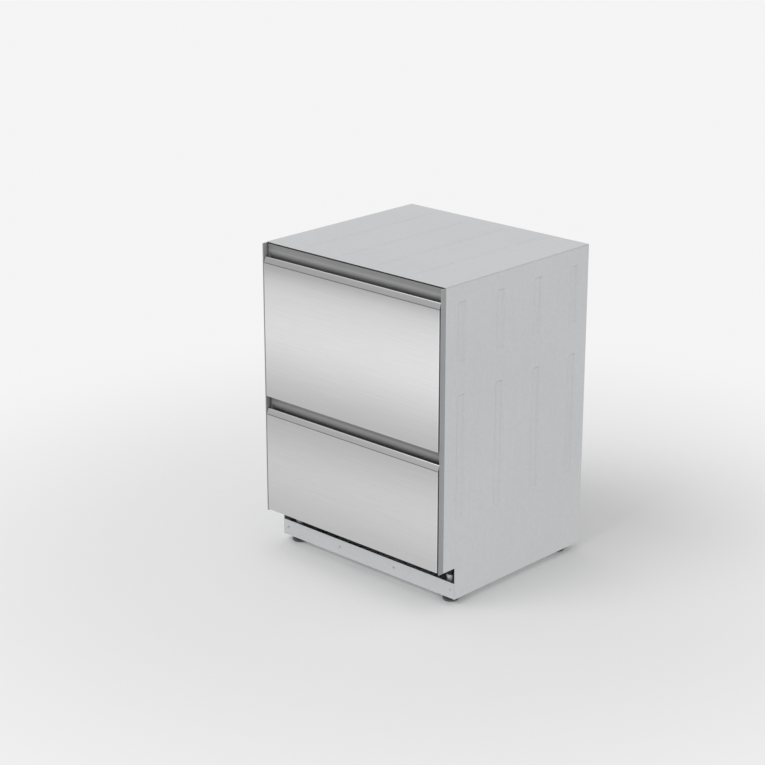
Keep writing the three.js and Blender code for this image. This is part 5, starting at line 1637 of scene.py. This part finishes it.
@dataclass
class WashSystem(DrawerAssembly):
    """Motor under the sump, filter over it and the spray arm."""

    drop: float = -321.0
    motor_top: float = -285.3
    motor_radius: float = 44.0
    cap_radius: float = 34.0
    flange_radius: float = 66.0
    filter_bottom: float = -261.7
    filter_radius: float = 88.0
    filter_wall: float = 1.4
    arm_bottom: float = -248.7
    arm_half: float = 200.0
    root: float = 19.0
    tip: float = 11.0
    hub: float = 20.0
    pin: float = 6.0
    pin_height: float = 7.0
    can_ribs: int = 6
    bolts: int = 6
    bolt_circle: float = 60.0
    outlet_x: float = 30.0
    jets: int = 6
    jet_y: float = 6.0

    def build(self) -> None:
        """Make the motor, the filter and the arm."""
        self.motor()
        self.filter()
        self.arm()

    def motor(self) -> None:
        """Pump motor: flange with bosses, ribbed can, end cap, terminal block and outlet stub."""
        mesh = bmesh.new()
        low, top = self.drop, self.motor_top
        wide, cap, flange = self.motor_radius, self.cap_radius, self.flange_radius
        ribs = []
        for i in range(self.can_ribs):
            height = low + 12 + i * 2.2
            ribs += [(wide, height), (wide, height + 0.9), (wide - 0.9, height + 1.2),
                     (wide - 0.9, height + 1.9)]
        turned(mesh, [(0, low + 1.5), (8, low + 1.5), (9, low), (cap - 5, low), (cap - 1.5, low + 1.5),
                      (cap, low + 5), (cap, low + 9), (wide - 1, low + 9.4), (wide, low + 10.6), *ribs,
                      (wide, top - 9), (flange - 3, top - 6.4), (flange - 0.6, top - 5.6), (flange, top - 5),
                      (flange, top - 0.5), (flange - 0.5, top), (0, top)], ORIGIN, 60)
        for i in range(self.bolts):
            angle = (2 * i + 1) * math.pi / self.bolts
            place = (self.bolt_circle * math.cos(angle), self.bolt_circle * math.sin(angle), top - 5.9)
            screw_head(mesh, place, (0, 0, -1), 3.2, 1.6)
        outlet = (self.outlet_x, 0, top - 14)
        stub = [(10, 33), (12, 33), (12, 78), (12, 84), (11, 92), (9.4, 92), (9.4, 40)]
        turned(mesh, stub, outlet, 36, ALONG_Y)
        turned(mesh, [(12, 76), (12, 77), (12, 80), (12, 81)], outlet, 36, ALONG_Y)
        extra = bmesh.new()
        block(extra, (-wide - 8, -wide + 14), (-20, 20), (low + 12, top - 8.5))
        for y in (-12, -4, 4, 12):
            block(extra, (-wide - 7.6, -wide - 4), around(y, 5), (low + 10.5, low + 13))
        attached(mesh, extra, 0.9, 3)
        self.add("wash_motor", mesh, "motor_black")

    def filter(self) -> None:
        """Slotted filter plate round the arm's pin, and the cup under it."""
        low, rest, edge = self.filter_bottom, self.arm_bottom - 0.3, self.filter_radius
        mesh, skin = bmesh.new(), bmesh.new()
        turned(skin, [(14, rest), (16, rest - 2.4), (20, low + 5), (29, low + 4.8), (38, low + 4.6),
                      (47, low + 4.4), (56, low + 4.2), (edge - 4, low + 3.2), (edge - 1.5, low + 2.4),
                      (edge, low)], ORIGIN, 96)
        bmesh.ops.delete(skin, geom=[face for face in skin.faces if self.slotted(face)], context="FACES")
        thickened(skin, self.filter_wall, lambda face: face.calc_area(), (0, 0, 1))
        merged(mesh, skin)
        cup = [(49, low + 1), (50, low + 1), (50, low - 13), (49, low - 14), (0, low - 14), (0, low - 12.5),
               (48.5, low - 12.5), (48.8, low + 1), (49, low + 1)]
        turned(mesh, cup, ORIGIN, 60)
        gauze = [(57, low + 2.6), (83, low + 1.6), (83, low + 1.0), (57, low + 2.0), (57, low + 2.6)]
        turned(mesh, gauze, ORIGIN, 96)
        pin, pin_top = self.pin, self.arm_bottom + self.pin_height
        turned(mesh, [(14, rest), (pin, rest), (pin, pin_top - 1), (pin - 1, pin_top), (0, pin_top)],
               ORIGIN, 36)
        self.add("filter_plate", mesh, "filter_plastic")

    @staticmethod
    def slotted(face: Face) -> bool:
        """Whether a face of the filter's skin is a slot.

        Args:
            face: the face.

        Returns:
            True in the eight slots of the inner ring and in those of the outer one.
        """
        centre = face.calc_center_median()
        turn = math.degrees(math.atan2(centre.y, centre.x)) % 45
        if 29 < centre.xy.length < 47:
            return turn < 3.8 or turn > 41.2
        return 57 < centre.xy.length < 83 and int((turn % 15) / 3.75) in (1, 2)

    @staticmethod
    def curve(start: tuple[float, float], pull: tuple[float, float], end: tuple[float, float],
              steps: int = 14) -> list[tuple[float, float]]:
        """Points of a curve from start to end, drawn towards a third point.

        Args:
            start: the first point.
            pull: the point that bends the curve.
            end: the last point.
            steps: legs of the curve.

        Returns:
            The points, both ends included.
        """
        points = []
        for i in range(steps + 1):
            t = i / steps
            points.append(tuple(a * (1 - t) ** 2 + b * 2 * t * (1 - t) + c * t ** 2
                                for a, b, c in zip(start, pull, end)))
        return points

    def arm(self) -> None:
        """Two swept blades with a raised spine, nozzles and a domed hub."""
        mesh = bmesh.new()
        low, high = self.arm_bottom + 1, self.arm_bottom + 9
        half, tip, root, sweep = self.arm_half, self.tip, self.root, self.tip - 2
        end = half - tip - 2
        rim = [(end + tip * math.sin(turn), sweep - tip * math.cos(turn))
               for turn in spread(0, math.pi, 13)[1:-1]]
        blade = (self.curve((-10, -root), (half * 0.5, -root - 1), (end, sweep - tip)) + rim
                 + self.curve((end, sweep + tip), (half * 0.45, root + 2), (-10, root)))
        spine = (self.curve((0, -9.5), (half * 0.5, -8), (half - 16, 3))
                 + [(half - 13, 5), (half - 12, 8), (half - 13, 11)]
                 + self.curve((half - 16, 13), (half * 0.45, 13), (0, 9.5)))
        nozzle = [(1.1, high + 1.2), (1.2, high + 2.4), (2.6, high + 2.5), (3.6, high + 1.6)]
        bore = [(0, high + 1.0), (1.3, high + 1.3)]
        for turn in (0, math.pi):
            extra = bmesh.new()
            bar(extra, [(x, y, low) for x, y in blade], (0, 0, high - low))
            bevelled(extra, 2.4, 4, 50)
            crest = bmesh.new()
            bar(crest, [(x, y, high - 1) for x, y in spine], (0, 0, 3))
            bevelled(crest, 1.2, 3, 50, [e for e in crest.edges if min(v.co.z for v in e.verts) > high])
            merged(extra, crest)
            for x in spread(55, half - 16, self.jets):
                for profile in (nozzle, bore):
                    turned(extra, profile, (x, self.jet_y, 0), 20)
            bmesh.ops.rotate(extra, cent=ORIGIN, matrix=Matrix.Rotation(turn, 3, "Z"), verts=extra.verts)
            merged(mesh, extra)
        foot, hub = self.arm_bottom, self.hub
        turned(mesh, [(self.pin + 0.3, foot), (hub - 1, foot), (hub, foot + 1), (hub, high + 1),
                      (hub - 2.5, high + 3.4), (12, high + 4), (11, high + 3), (8, high + 3), (7, high + 4),
                      (0, high + 4)], ORIGIN, 48)
        self.add("spray_arm", mesh, "arm_plastic")


@dataclass
class Runners(DrawerAssembly):
    """Telescopic runners: three nested channels with rows of balls between them."""

    inner_face: float = 298.3
    y: Span = (-258.0, 254.3)
    middle_z: float = -200.0
    sheet: float = 1.5
    web: float = 3.8
    lips: float = 10.2
    half: float = 18.0
    ball: float = 1.42
    ball_rows: Span = (19.4, 15.1)
    pitch: float = 8.0
    screw_depth: float = 10.8
    screw_margin: float = 60.0

    def build(self) -> None:
        """Make both runners."""
        for side in Side:
            for name in ("outer_rail", "inner_rail"):
                self.shop.softened(self.node(f"{name}_{side.label}"), "runner_steel", 0.3, 2, 60)
            self.middle(side)
            self.screws(side)

    def middle(self, side: Side) -> None:
        """Middle channel with its ball cages.

        Args:
            side: the side of the machine.
        """
        mesh = bmesh.new()
        web, lips, half, thick = self.web, self.lips, self.half, self.sheet
        section = [(web, -half), (web, half), (lips, half), (lips, half - thick),
                   (web + thick, half - thick), (web + thick, -half + thick), (lips, -half + thick),
                   (lips, -half)]
        corners = [(side.value * (self.inner_face - u), self.y[0], self.middle_z + v) for u, v in section]
        bar(mesh, corners, (0, self.y[1] - self.y[0], 0))
        bevelled(mesh, 0.35, 2, 60)
        x = side.value * (self.inner_face - (web + thick + lips) / 2 + 0.5)
        centre = (self.y[0] + self.y[1]) / 2
        length = (self.y[1] - self.y[0]) / 2
        count = int(length / self.pitch)
        cage = bmesh.new()
        for v in self.ball_rows:
            for turn in (1, -1):
                z = self.middle_z + turn * v
                block(cage, around(x, 0.7), around(centre, length), around(z, 2.5))
                for y in spread(centre - length / 2 + 3, centre + length / 2 - 3, count):
                    bmesh.ops.create_icosphere(mesh, subdivisions=2, radius=self.ball,
                                               matrix=Matrix.Translation((x, y, z)))
        attached(mesh, cage, 0.15, 1)
        self.add(f"middle_rail_{side.label}", mesh, "runner_steel")

    def screws(self, side: Side) -> None:
        """Screws in the slots of the inner rail.

        Args:
            side: the side of the machine.
        """
        mesh = bmesh.new()
        x = side.value * (self.inner_face - self.screw_depth)
        for y in spread(self.y[0] + self.screw_margin, self.y[1] - self.screw_margin, 3):
            screw_head(mesh, (x, y, self.middle_z), (side.value, 0, 0), 4.2, 2.0)
        self.add(f"rail_screws_{side.label}", mesh, "runner_steel", replaced=False,
                 rides_with=f"inner_rail_{side.label}")


@dataclass
class Lid(DrawerAssembly):
    """Ribbed lid that lowers on the tub, with its soft seal."""

    half: float = 280.0
    y: Span = (-242.4, 246.3)
    z: Span = (7.0, 16.0)
    corner: float = 14.0
    edge: float = 8.0
    hollow: float = 13.0
    rib: float = 3.0
    rib_top: float = 21.0
    rib_inset: float = 60.0
    lug_reach: float = 296.3
    lug_gap: float = 300.0
    seal_z: Span = (3.85, 6.7)
    seal_lip_z: Span = (1.3, 6.5)

    def build(self) -> None:
        """Make the lid and its seal."""
        mesh = bmesh.new()
        (low, top), edge, hollow = self.z, self.edge, self.hollow
        places = ((edge + 2, hollow), (edge, hollow - 2), (edge, low + 0.6), (edge - 0.6, low + FALL),
                  (0.8, low), (0, low + 0.8), (0, top - 2), (0.6, top - 0.7), (2, top))
        lofted(mesh, [self.loop(mesh, inset, height) for inset, height in places])
        extra = bmesh.new()
        self.ribs(extra)
        attached(mesh, extra, 0.9, 3)
        self.add("lid", mesh, "lid_plastic")
        seal = bmesh.new()
        ring_wall(seal, *self.plan_inset(2), self.seal_z, 12, 5, 0.9)
        ring_wall(seal, *self.plan_inset(3.5), self.seal_lip_z, 12, 2, 0.7)
        self.add("lid_seal", seal, "seal_rubber")

    def plan_inset(self, inset: float) -> tuple[Span, Span]:
        """The lid's reach along X and Y, moved inwards."""
        return (inset - self.half, self.half - inset), (self.y[0] + inset, self.y[1] - inset)

    def loop(self, mesh: Mesh, inset: float, z: float) -> Edges:
        """A loop of the lid's plan, moved inwards."""
        return ring_loop(mesh, *self.plan_inset(inset), z, max(self.corner - inset, 5), 8)

    def ribs(self, mesh: Mesh) -> None:
        """Ribs on the top and the lugs that the guides hold.

        Args:
            mesh: the bmesh to add to.
        """
        reach = self.half - self.rib_inset
        top = self.z[1]
        for x in spread(-reach, reach, 4):
            length = (self.y[0] + self.rib_inset / 2, self.y[1] - self.rib_inset / 2)
            block(mesh, around(x, self.rib), length, (top - 1, self.rib_top))
        for y in spread(self.y[0] + self.rib_inset, self.y[1] - self.rib_inset, 2):
            block(mesh, (-reach - 1, reach + 1), around(y, self.rib), (top - 1.5, self.rib_top - 1))
        for side in Side:
            for y in around(0, self.lug_gap):
                block(mesh, side.reach(self.half - 4, self.lug_reach), around(y, 12),
                      (self.z[0] + 3, self.z[0] + 8))


DRAWER_ASSEMBLIES: tuple[type[DrawerAssembly], ...] = (
    SteelFront, GripFascia, Tub, RackWires, CutleryBasket, Dispenser, WashSystem, Runners, Lid)


@dataclass
class Chassis(Assembly):
    """Sheet-steel case: panels, trims, base, centre rail, feet and the connections at the back."""

    back: float = 265.5
    foot_places: tuple[tuple[str, float, float], ...] = (
        ("front_left_foot", -265.0, -200.5), ("front_right_foot", 265.0, -200.5),
        ("rear_left_foot", -265.0, 215.5), ("rear_right_foot", 265.0, 215.5))
    connection_z: float = 72.0
    inlet_x: float = -190.0
    inlet_y: float = 241.5
    drain_x: float = -110.0
    channel: float = 2.5
    top_channel: float = 1.1
    channel_width: float = 30.0
    rear_channel_width: float = 40.0
    slope: float = 4.0
    rib: float = 1.2
    top_channel_xs: tuple[float, ...] = (-180.0, -60.0, 60.0, 180.0)
    flank_channel_ys: tuple[float, ...] = (-210.0, -70.0, 70.0, 210.0)
    flank_channel_zs: tuple[Span, ...] = ((225.0, 545.0), (625.0, 775.0))
    stem_turns: int = 44
    stem_top: float = 105.0
    screw_x: float = 289.0
    screw_zs: Span = (52.0, 808.0)
    plate_screw_xs: tuple[float, ...] = (-285.0, -95.0, 95.0, 285.0)
    plate_screw_z: float = 37.0
    plate_front: float = -225.5

    def build(self) -> None:
        """Make the case."""
        for name in ("base_pan", "base_front_plate", "centre_rail"):
            self.shop.softened(name, "chassis_steel", 0.35, 2, 40)
        for side in Side:
            self.shop.softened(f"{side.label}_side_trim", "trim_grey", 0.3, 2, 25)
            self.flank(side)
        self.top()
        self.rear()
        for name, x, y in self.foot_places:
            self.foot(name, x, y)
        self.inlet()
        self.drain()
        self.shop.softened("power_inlet", "motor_black", 0.6, 3)
        self.fixings()

    def press(self, mesh: Mesh, up: Vector, rectangles: Sequence[tuple[Span, Span]],
              axes: tuple[int, int], depth: float, through: bool) -> None:
        """Press channels with sloping sides into a sheet.

        Args:
            mesh: the bmesh to change.
            up: direction that the sheet's outer face looks in.
            rectangles: reach of each channel along both axes.
            axes: the two axes of the sheet, as indices.
            depth: of the channels.
            through: whether the inner face moves too. Otherwise the ribs inside it grow as needed.
        """
        outer = max(f.calc_center_median().dot(up) for f in mesh.faces if f.normal.dot(up) > 0.99)
        levels = (outer, outer - SHEET) if through else (outer,)

        def lies(height: float) -> bool:
            """Whether a height is one of the sheet's levels."""
            return any(abs(height - level) < 0.05 for level in levels)

        def flat() -> list[Face]:
            """The faces of the sheet's levels."""
            return [f for f in mesh.faces
                    if abs(f.normal.dot(up)) > 0.99 and lies(f.calc_center_median().dot(up))]

        for index, axis in enumerate(axes):
            ends = {value for spans in rectangles for value in spans[index]}
            slopes = {value + move for spans in rectangles
                      for value, move in zip(spans[index], (self.slope, -self.slope))}
            for value in sorted(ends | slopes):
                cut(mesh, flat(), axis, value)
        bmesh.ops.triangulate(mesh, faces=flat())
        floor = [v for v in mesh.verts if lies(v.co.dot(up)) and any(
            all(span[0] + self.slope - 0.01 < v.co[axis] < span[1] - self.slope + 0.01
                for axis, span in zip(axes, spans)) for spans in rectangles)]
        bmesh.ops.translate(mesh, verts=floor, vec=-up * depth)
        if not through and depth > self.rib:
            crest = [v for v in mesh.verts if abs(v.co.dot(up) - outer + SHEET + self.rib) < 0.05]
            bmesh.ops.translate(mesh, verts=crest, vec=-up * (depth - self.rib))

    def sheet(self, name: str, up: Vector, channels: Sequence[tuple[Span, Span]], axes: tuple[int, int],
              depth: float, through: bool, edge: float) -> None:
        """Make one sheet of the case with its pressed channels.

        Args:
            name: its node.
            up: direction that its outer face looks in.
            channels: reach of each channel along both axes.
            axes: the two axes of the sheet, as indices.
            depth: of the channels.
            through: whether the inner face moves too.
            edge: size of its rounded edges.
        """
        mesh = copied(name)
        self.press(mesh, up, channels, axes, depth, through)
        bevelled(mesh, edge, 2, 60)
        self.shop.piece(name + "_shape", mesh, "chassis_steel", "chassis", (name,), smooth=1)

    def top(self) -> None:
        """Top panel with its pressed channels."""
        channels = [(around(x, self.channel_width), (-236.0, self.back - 30)) for x in self.top_channel_xs]
        self.sheet("top_panel", Vector((0, 0, 1)), channels, (0, 1), self.top_channel, False, 0.3)

    def flank(self, side: Side) -> None:
        """Side panel with its pressed channels.

        Args:
            side: the side of the machine.
        """
        channels = [(around(y, self.channel_width), span) for y in self.flank_channel_ys
                    for span in self.flank_channel_zs]
        self.sheet(f"{side.label}_side_panel", Vector((side.value, 0, 0)), channels, (1, 2), self.channel,
                   True, 0.3)

    def rear(self) -> None:
        """Back panel with its pressed channels."""
        channels = [(around(x, self.rear_channel_width), (260.0, 758.5)) for x in spread(-208, 208, 4)]
        self.sheet("back_panel", Vector(ALONG_Y), channels, (0, 2), self.channel, False, 0.25)

    def foot(self, name: str, x: float, y: float) -> None:
        """Levelling foot: ribbed pad, hexagon and threaded stem.

        Args:
            name: its node and body.
            x: place of its axis along X.
            y: place of its axis along Y.
        """
        mesh = bmesh.new()
        pad = [(0, 1.0), (15, 1.0), (15.5, 0), (18.5, 0), (19.6, 0.5), (20, 1.5), (20, 4.4), (19.4, 5.2),
               (13, 7.6), (12, 8), (0, 8)]
        turned(mesh, pad, (x, y, 0), 48)
        turned(mesh, [(0, 7.5), (10.2, 7.5), (11, 8.4), (11, 14.9), (10.2, 15.7), (0, 15.7)], (x, y, 0), 6)
        thread = [(4.2, 15)]
        for i in range(self.stem_turns):
            height = 15.5 + 2 * i
            thread += [(5.0, height + 0.5), (5.0, height + 0.8), (4.2, height + 1.6)]
        turned(mesh, [*thread, (4.0, self.stem_top), (0, self.stem_top)], (x, y, 0), 20)
        self.shop.piece(name + "_shape", mesh, "dark_plastic", name, (name,), smooth=30)

    def inlet(self) -> None:
        """Inlet valve: threaded spigot, flange, body and the coil with its tabs."""
        mesh = bmesh.new()
        x, middle_y, z = self.inlet_x, self.inlet_y, self.connection_z
        thread = []
        for i in range(9):
            y = 266.6 + 1.8 * i
            thread += [(12.2, y), (13.0, y + 0.7), (13.0, y + 0.9), (12.2, y + 1.6)]
        spigot = [(0, 233), (10.6, 233), (11.3, 233.8), (11.3, 256), (16, 256.4), (16, 263), (15.4, 263.7),
                  (12.4, 263.7), *thread, (12.2, 285), (11.7, 285.5), (8.6, 285.5), (8, 284.9), (8, 262),
                  (0, 262)]
        turned(mesh, spigot, (x, 0, z), 48, ALONG_Y)
        coil = [(0, z), (11.6, z), (12, z + 0.5), (12, z + 6), (11, z + 6.6), (11, z + 7.6), (12, z + 8.2),
                (12, z + 20.5), (10.6, z + 22), (0, z + 22)]
        turned(mesh, coil, (x, middle_y, 0), 40)
        extra = bmesh.new()
        for tab in around(x, 8):
            block(extra, around(tab, 0.8), around(middle_y, 6.3), (z + 21, z + 28))
        attached(mesh, extra, 0.15, 1)
        self.shop.piece("inlet_valve_shape", mesh, "white_plastic", "chassis", ("inlet_valve",))

    def drain(self) -> None:
        """Barbed spigot of the drain."""
        mesh = bmesh.new()
        barbs = [(9, 271), (10.5, 271.2), (9.2, 275.5), (10.5, 275.7), (9.2, 280), (10.5, 280.2), (9, 284.9)]
        spigot = [(6.5, 243.7), (9, 243.7), (9, 258.6), (15, 258.8), (15, 263.1), (14.4, 263.7), (11, 263.7),
                  (11, 269.9), (10.4, 270.5), *barbs, (8.4, 285.5), (6.9, 285.5), (6.5, 285), (6.5, 243.7)]
        turned(mesh, spigot, (self.drain_x, 0, self.connection_z), 48, ALONG_Y)
        self.shop.piece("drain_spigot_shape", mesh, "dark_plastic", "chassis", ("drain_spigot",))

    def fixings(self) -> None:
        """Screws of the back panel and the base plate."""
        mesh = bmesh.new()
        places = [(side.value * self.screw_x, z) for z in spread(60, 790, 7) for side in Side]
        places += [(x, z) for x in spread(-180, 180, 4) for z in reversed(self.screw_zs)]
        for x, z in places:
            screw_head(mesh, (x, self.back, z), ALONG_Y)
        for x in self.plate_screw_xs:
            screw_head(mesh, (x, self.plate_front, self.plate_screw_z), (0, -1, 0))
        self.shop.piece("case_screws", mesh, "runner_steel", "chassis")


# ---- Studio ----
@dataclass(frozen=True)
class Studio:
    """Pale floor, white surroundings, soft lamps and the camera at the photograph's angle."""

    eye: Point = (3.2406, -3.5888, 2.1246)
    yaw: float = -0.7579
    pitch: float = 0.3333
    focal_pixels: float = 2005.3
    frame_pixels: float = 765
    sensor: float = 36.0
    floor_grey: float = 0.8
    floor_roughness: float = 0.9
    ambient: float = 0.74
    white: float = 0.91
    sun_turn: Point = (0.62, 0.0, -0.35)
    sun_strength: float = 0.95
    sun_spread: float = 0.6
    fade: Span = (0.7, 1.9)
    floor_radius: float = 12.0

    def build(self) -> None:
        """Set up everything around the machine."""
        self.camera()
        self.surroundings()
        self.floor()
        self.sun()
        bpy.context.scene.view_settings.view_transform = "Standard"

    def camera(self) -> None:
        """Add the camera."""
        lens = bpy.data.cameras.new("camera")
        lens.sensor_width = self.sensor
        lens.lens = self.focal_pixels * self.sensor / self.frame_pixels
        level = math.cos(self.pitch)
        ahead = Vector((math.sin(self.yaw) * level, math.cos(self.yaw) * level, -math.sin(self.pitch)))
        holder = self.placed(lens)
        holder.location = self.eye
        holder.rotation_euler = ahead.to_track_quat("-Z", "Y").to_euler()
        bpy.context.scene.camera = holder

    def sun(self) -> None:
        """One broad, soft light from above, ahead of the machine."""
        lamp = bpy.data.lights.new("sky_light", "SUN")
        lamp.energy = self.sun_strength
        lamp.angle = self.sun_spread
        self.placed(lamp).rotation_euler = self.sun_turn

    @staticmethod
    def joined(tree: bpy.types.NodeTree, kinds: Sequence[str]) -> Socket:
        """One for rays of the given kinds, else zero.

        Args:
            tree: the nodes to add to.
            kinds: outputs of the light path.

        Returns:
            The value socket.
        """
        path = tree.nodes.new("ShaderNodeLightPath")
        total = path.outputs[kinds[0]]
        for kind in kinds[1:]:
            node = tree.nodes.new("ShaderNodeMath")
            node.operation = "MAXIMUM"
            tree.links.new(total, node.inputs[0])
            tree.links.new(path.outputs[kind], node.inputs[1])
            total = node.outputs["Value"]
        return total

    @staticmethod
    def placed(data: bpy.types.ID) -> bpy.types.Object:
        """Add an object that shows some data to the scene.

        Args:
            data: a mesh, a lamp or a camera.

        Returns:
            The object.
        """
        holder = bpy.data.objects.new(data.name, data)
        bpy.context.scene.collection.objects.link(holder)
        return holder

    def surroundings(self) -> None:
        """White to look at, softer as a source of light."""
        world = bpy.data.worlds.new("studio")
        world.use_nodes = True
        tree = world.node_tree
        back = tree.nodes["Background"]
        strength = tree.nodes.new("ShaderNodeMapRange")
        strength.inputs["To Min"].default_value = self.ambient
        strength.inputs["To Max"].default_value = self.white
        seen = self.joined(tree, ("Is Camera Ray", "Is Glossy Ray", "Is Transmission Ray"))
        tree.links.new(seen, strength.inputs["Value"])
        tree.links.new(strength.outputs["Result"], back.inputs["Strength"])
        back.inputs["Color"].default_value = (1, 1, 1, 1)
        bpy.context.scene.world = world

    def floor(self) -> None:
        """Pale floor that keeps the shadow and fades into the white surroundings."""
        mesh = bmesh.new()
        bmesh.ops.create_circle(mesh, cap_ends=True, segments=64, radius=self.floor_radius)
        data = bpy.data.meshes.new("floor")
        mesh.to_mesh(data)
        mesh.free()
        recipe = Recipe("floor")
        tree, shader = recipe.tree, recipe.shader
        shader.inputs["Base Color"].default_value = (self.floor_grey,) * 3 + (1,)
        shader.inputs["Roughness"].default_value = self.floor_roughness
        shader.inputs["Specular IOR Level"].default_value = 0.0
        glow = tree.nodes.new("ShaderNodeEmission")
        glow.inputs["Strength"].default_value = self.white
        distance = tree.nodes.new("ShaderNodeVectorMath")
        distance.operation = "LENGTH"
        recipe.link(recipe.coordinates, distance.inputs[0])
        far = tree.nodes.new("ShaderNodeMapRange")
        far.interpolation_type = "SMOOTHSTEP"
        far.inputs["From Min"].default_value, far.inputs["From Max"].default_value = self.fade
        recipe.link(distance.outputs["Value"], far.inputs["Value"])
        away = tree.nodes.new("ShaderNodeMath")
        away.operation = "MAXIMUM"
        recipe.link(far.outputs["Result"], away.inputs[0])
        recipe.link(self.joined(tree, ("Is Glossy Ray", "Is Transmission Ray")), away.inputs[1])
        mix = tree.nodes.new("ShaderNodeMixShader")
        recipe.link(away.outputs["Value"], mix.inputs["Fac"])
        recipe.link(shader.outputs["BSDF"], mix.inputs[1])
        recipe.link(glow.outputs["Emission"], mix.inputs[2])
        recipe.link(mix.outputs["Shader"], tree.nodes["Material Output"].inputs["Surface"])
        data.materials.append(recipe.material)
        floor = self.placed(data)


def main() -> None:
    """Build the machine's looks and the studio around it."""
    logging.basicConfig(level=logging.INFO, format="%(name)s: %(message)s")
    workshop = Workshop(FINISHES)
    for level in Level:
        for assembly in DRAWER_ASSEMBLIES:
            assembly(workshop, level).build()
    Chassis(workshop).build()
    Studio().build()


if __name__ == "__main__":
    main()
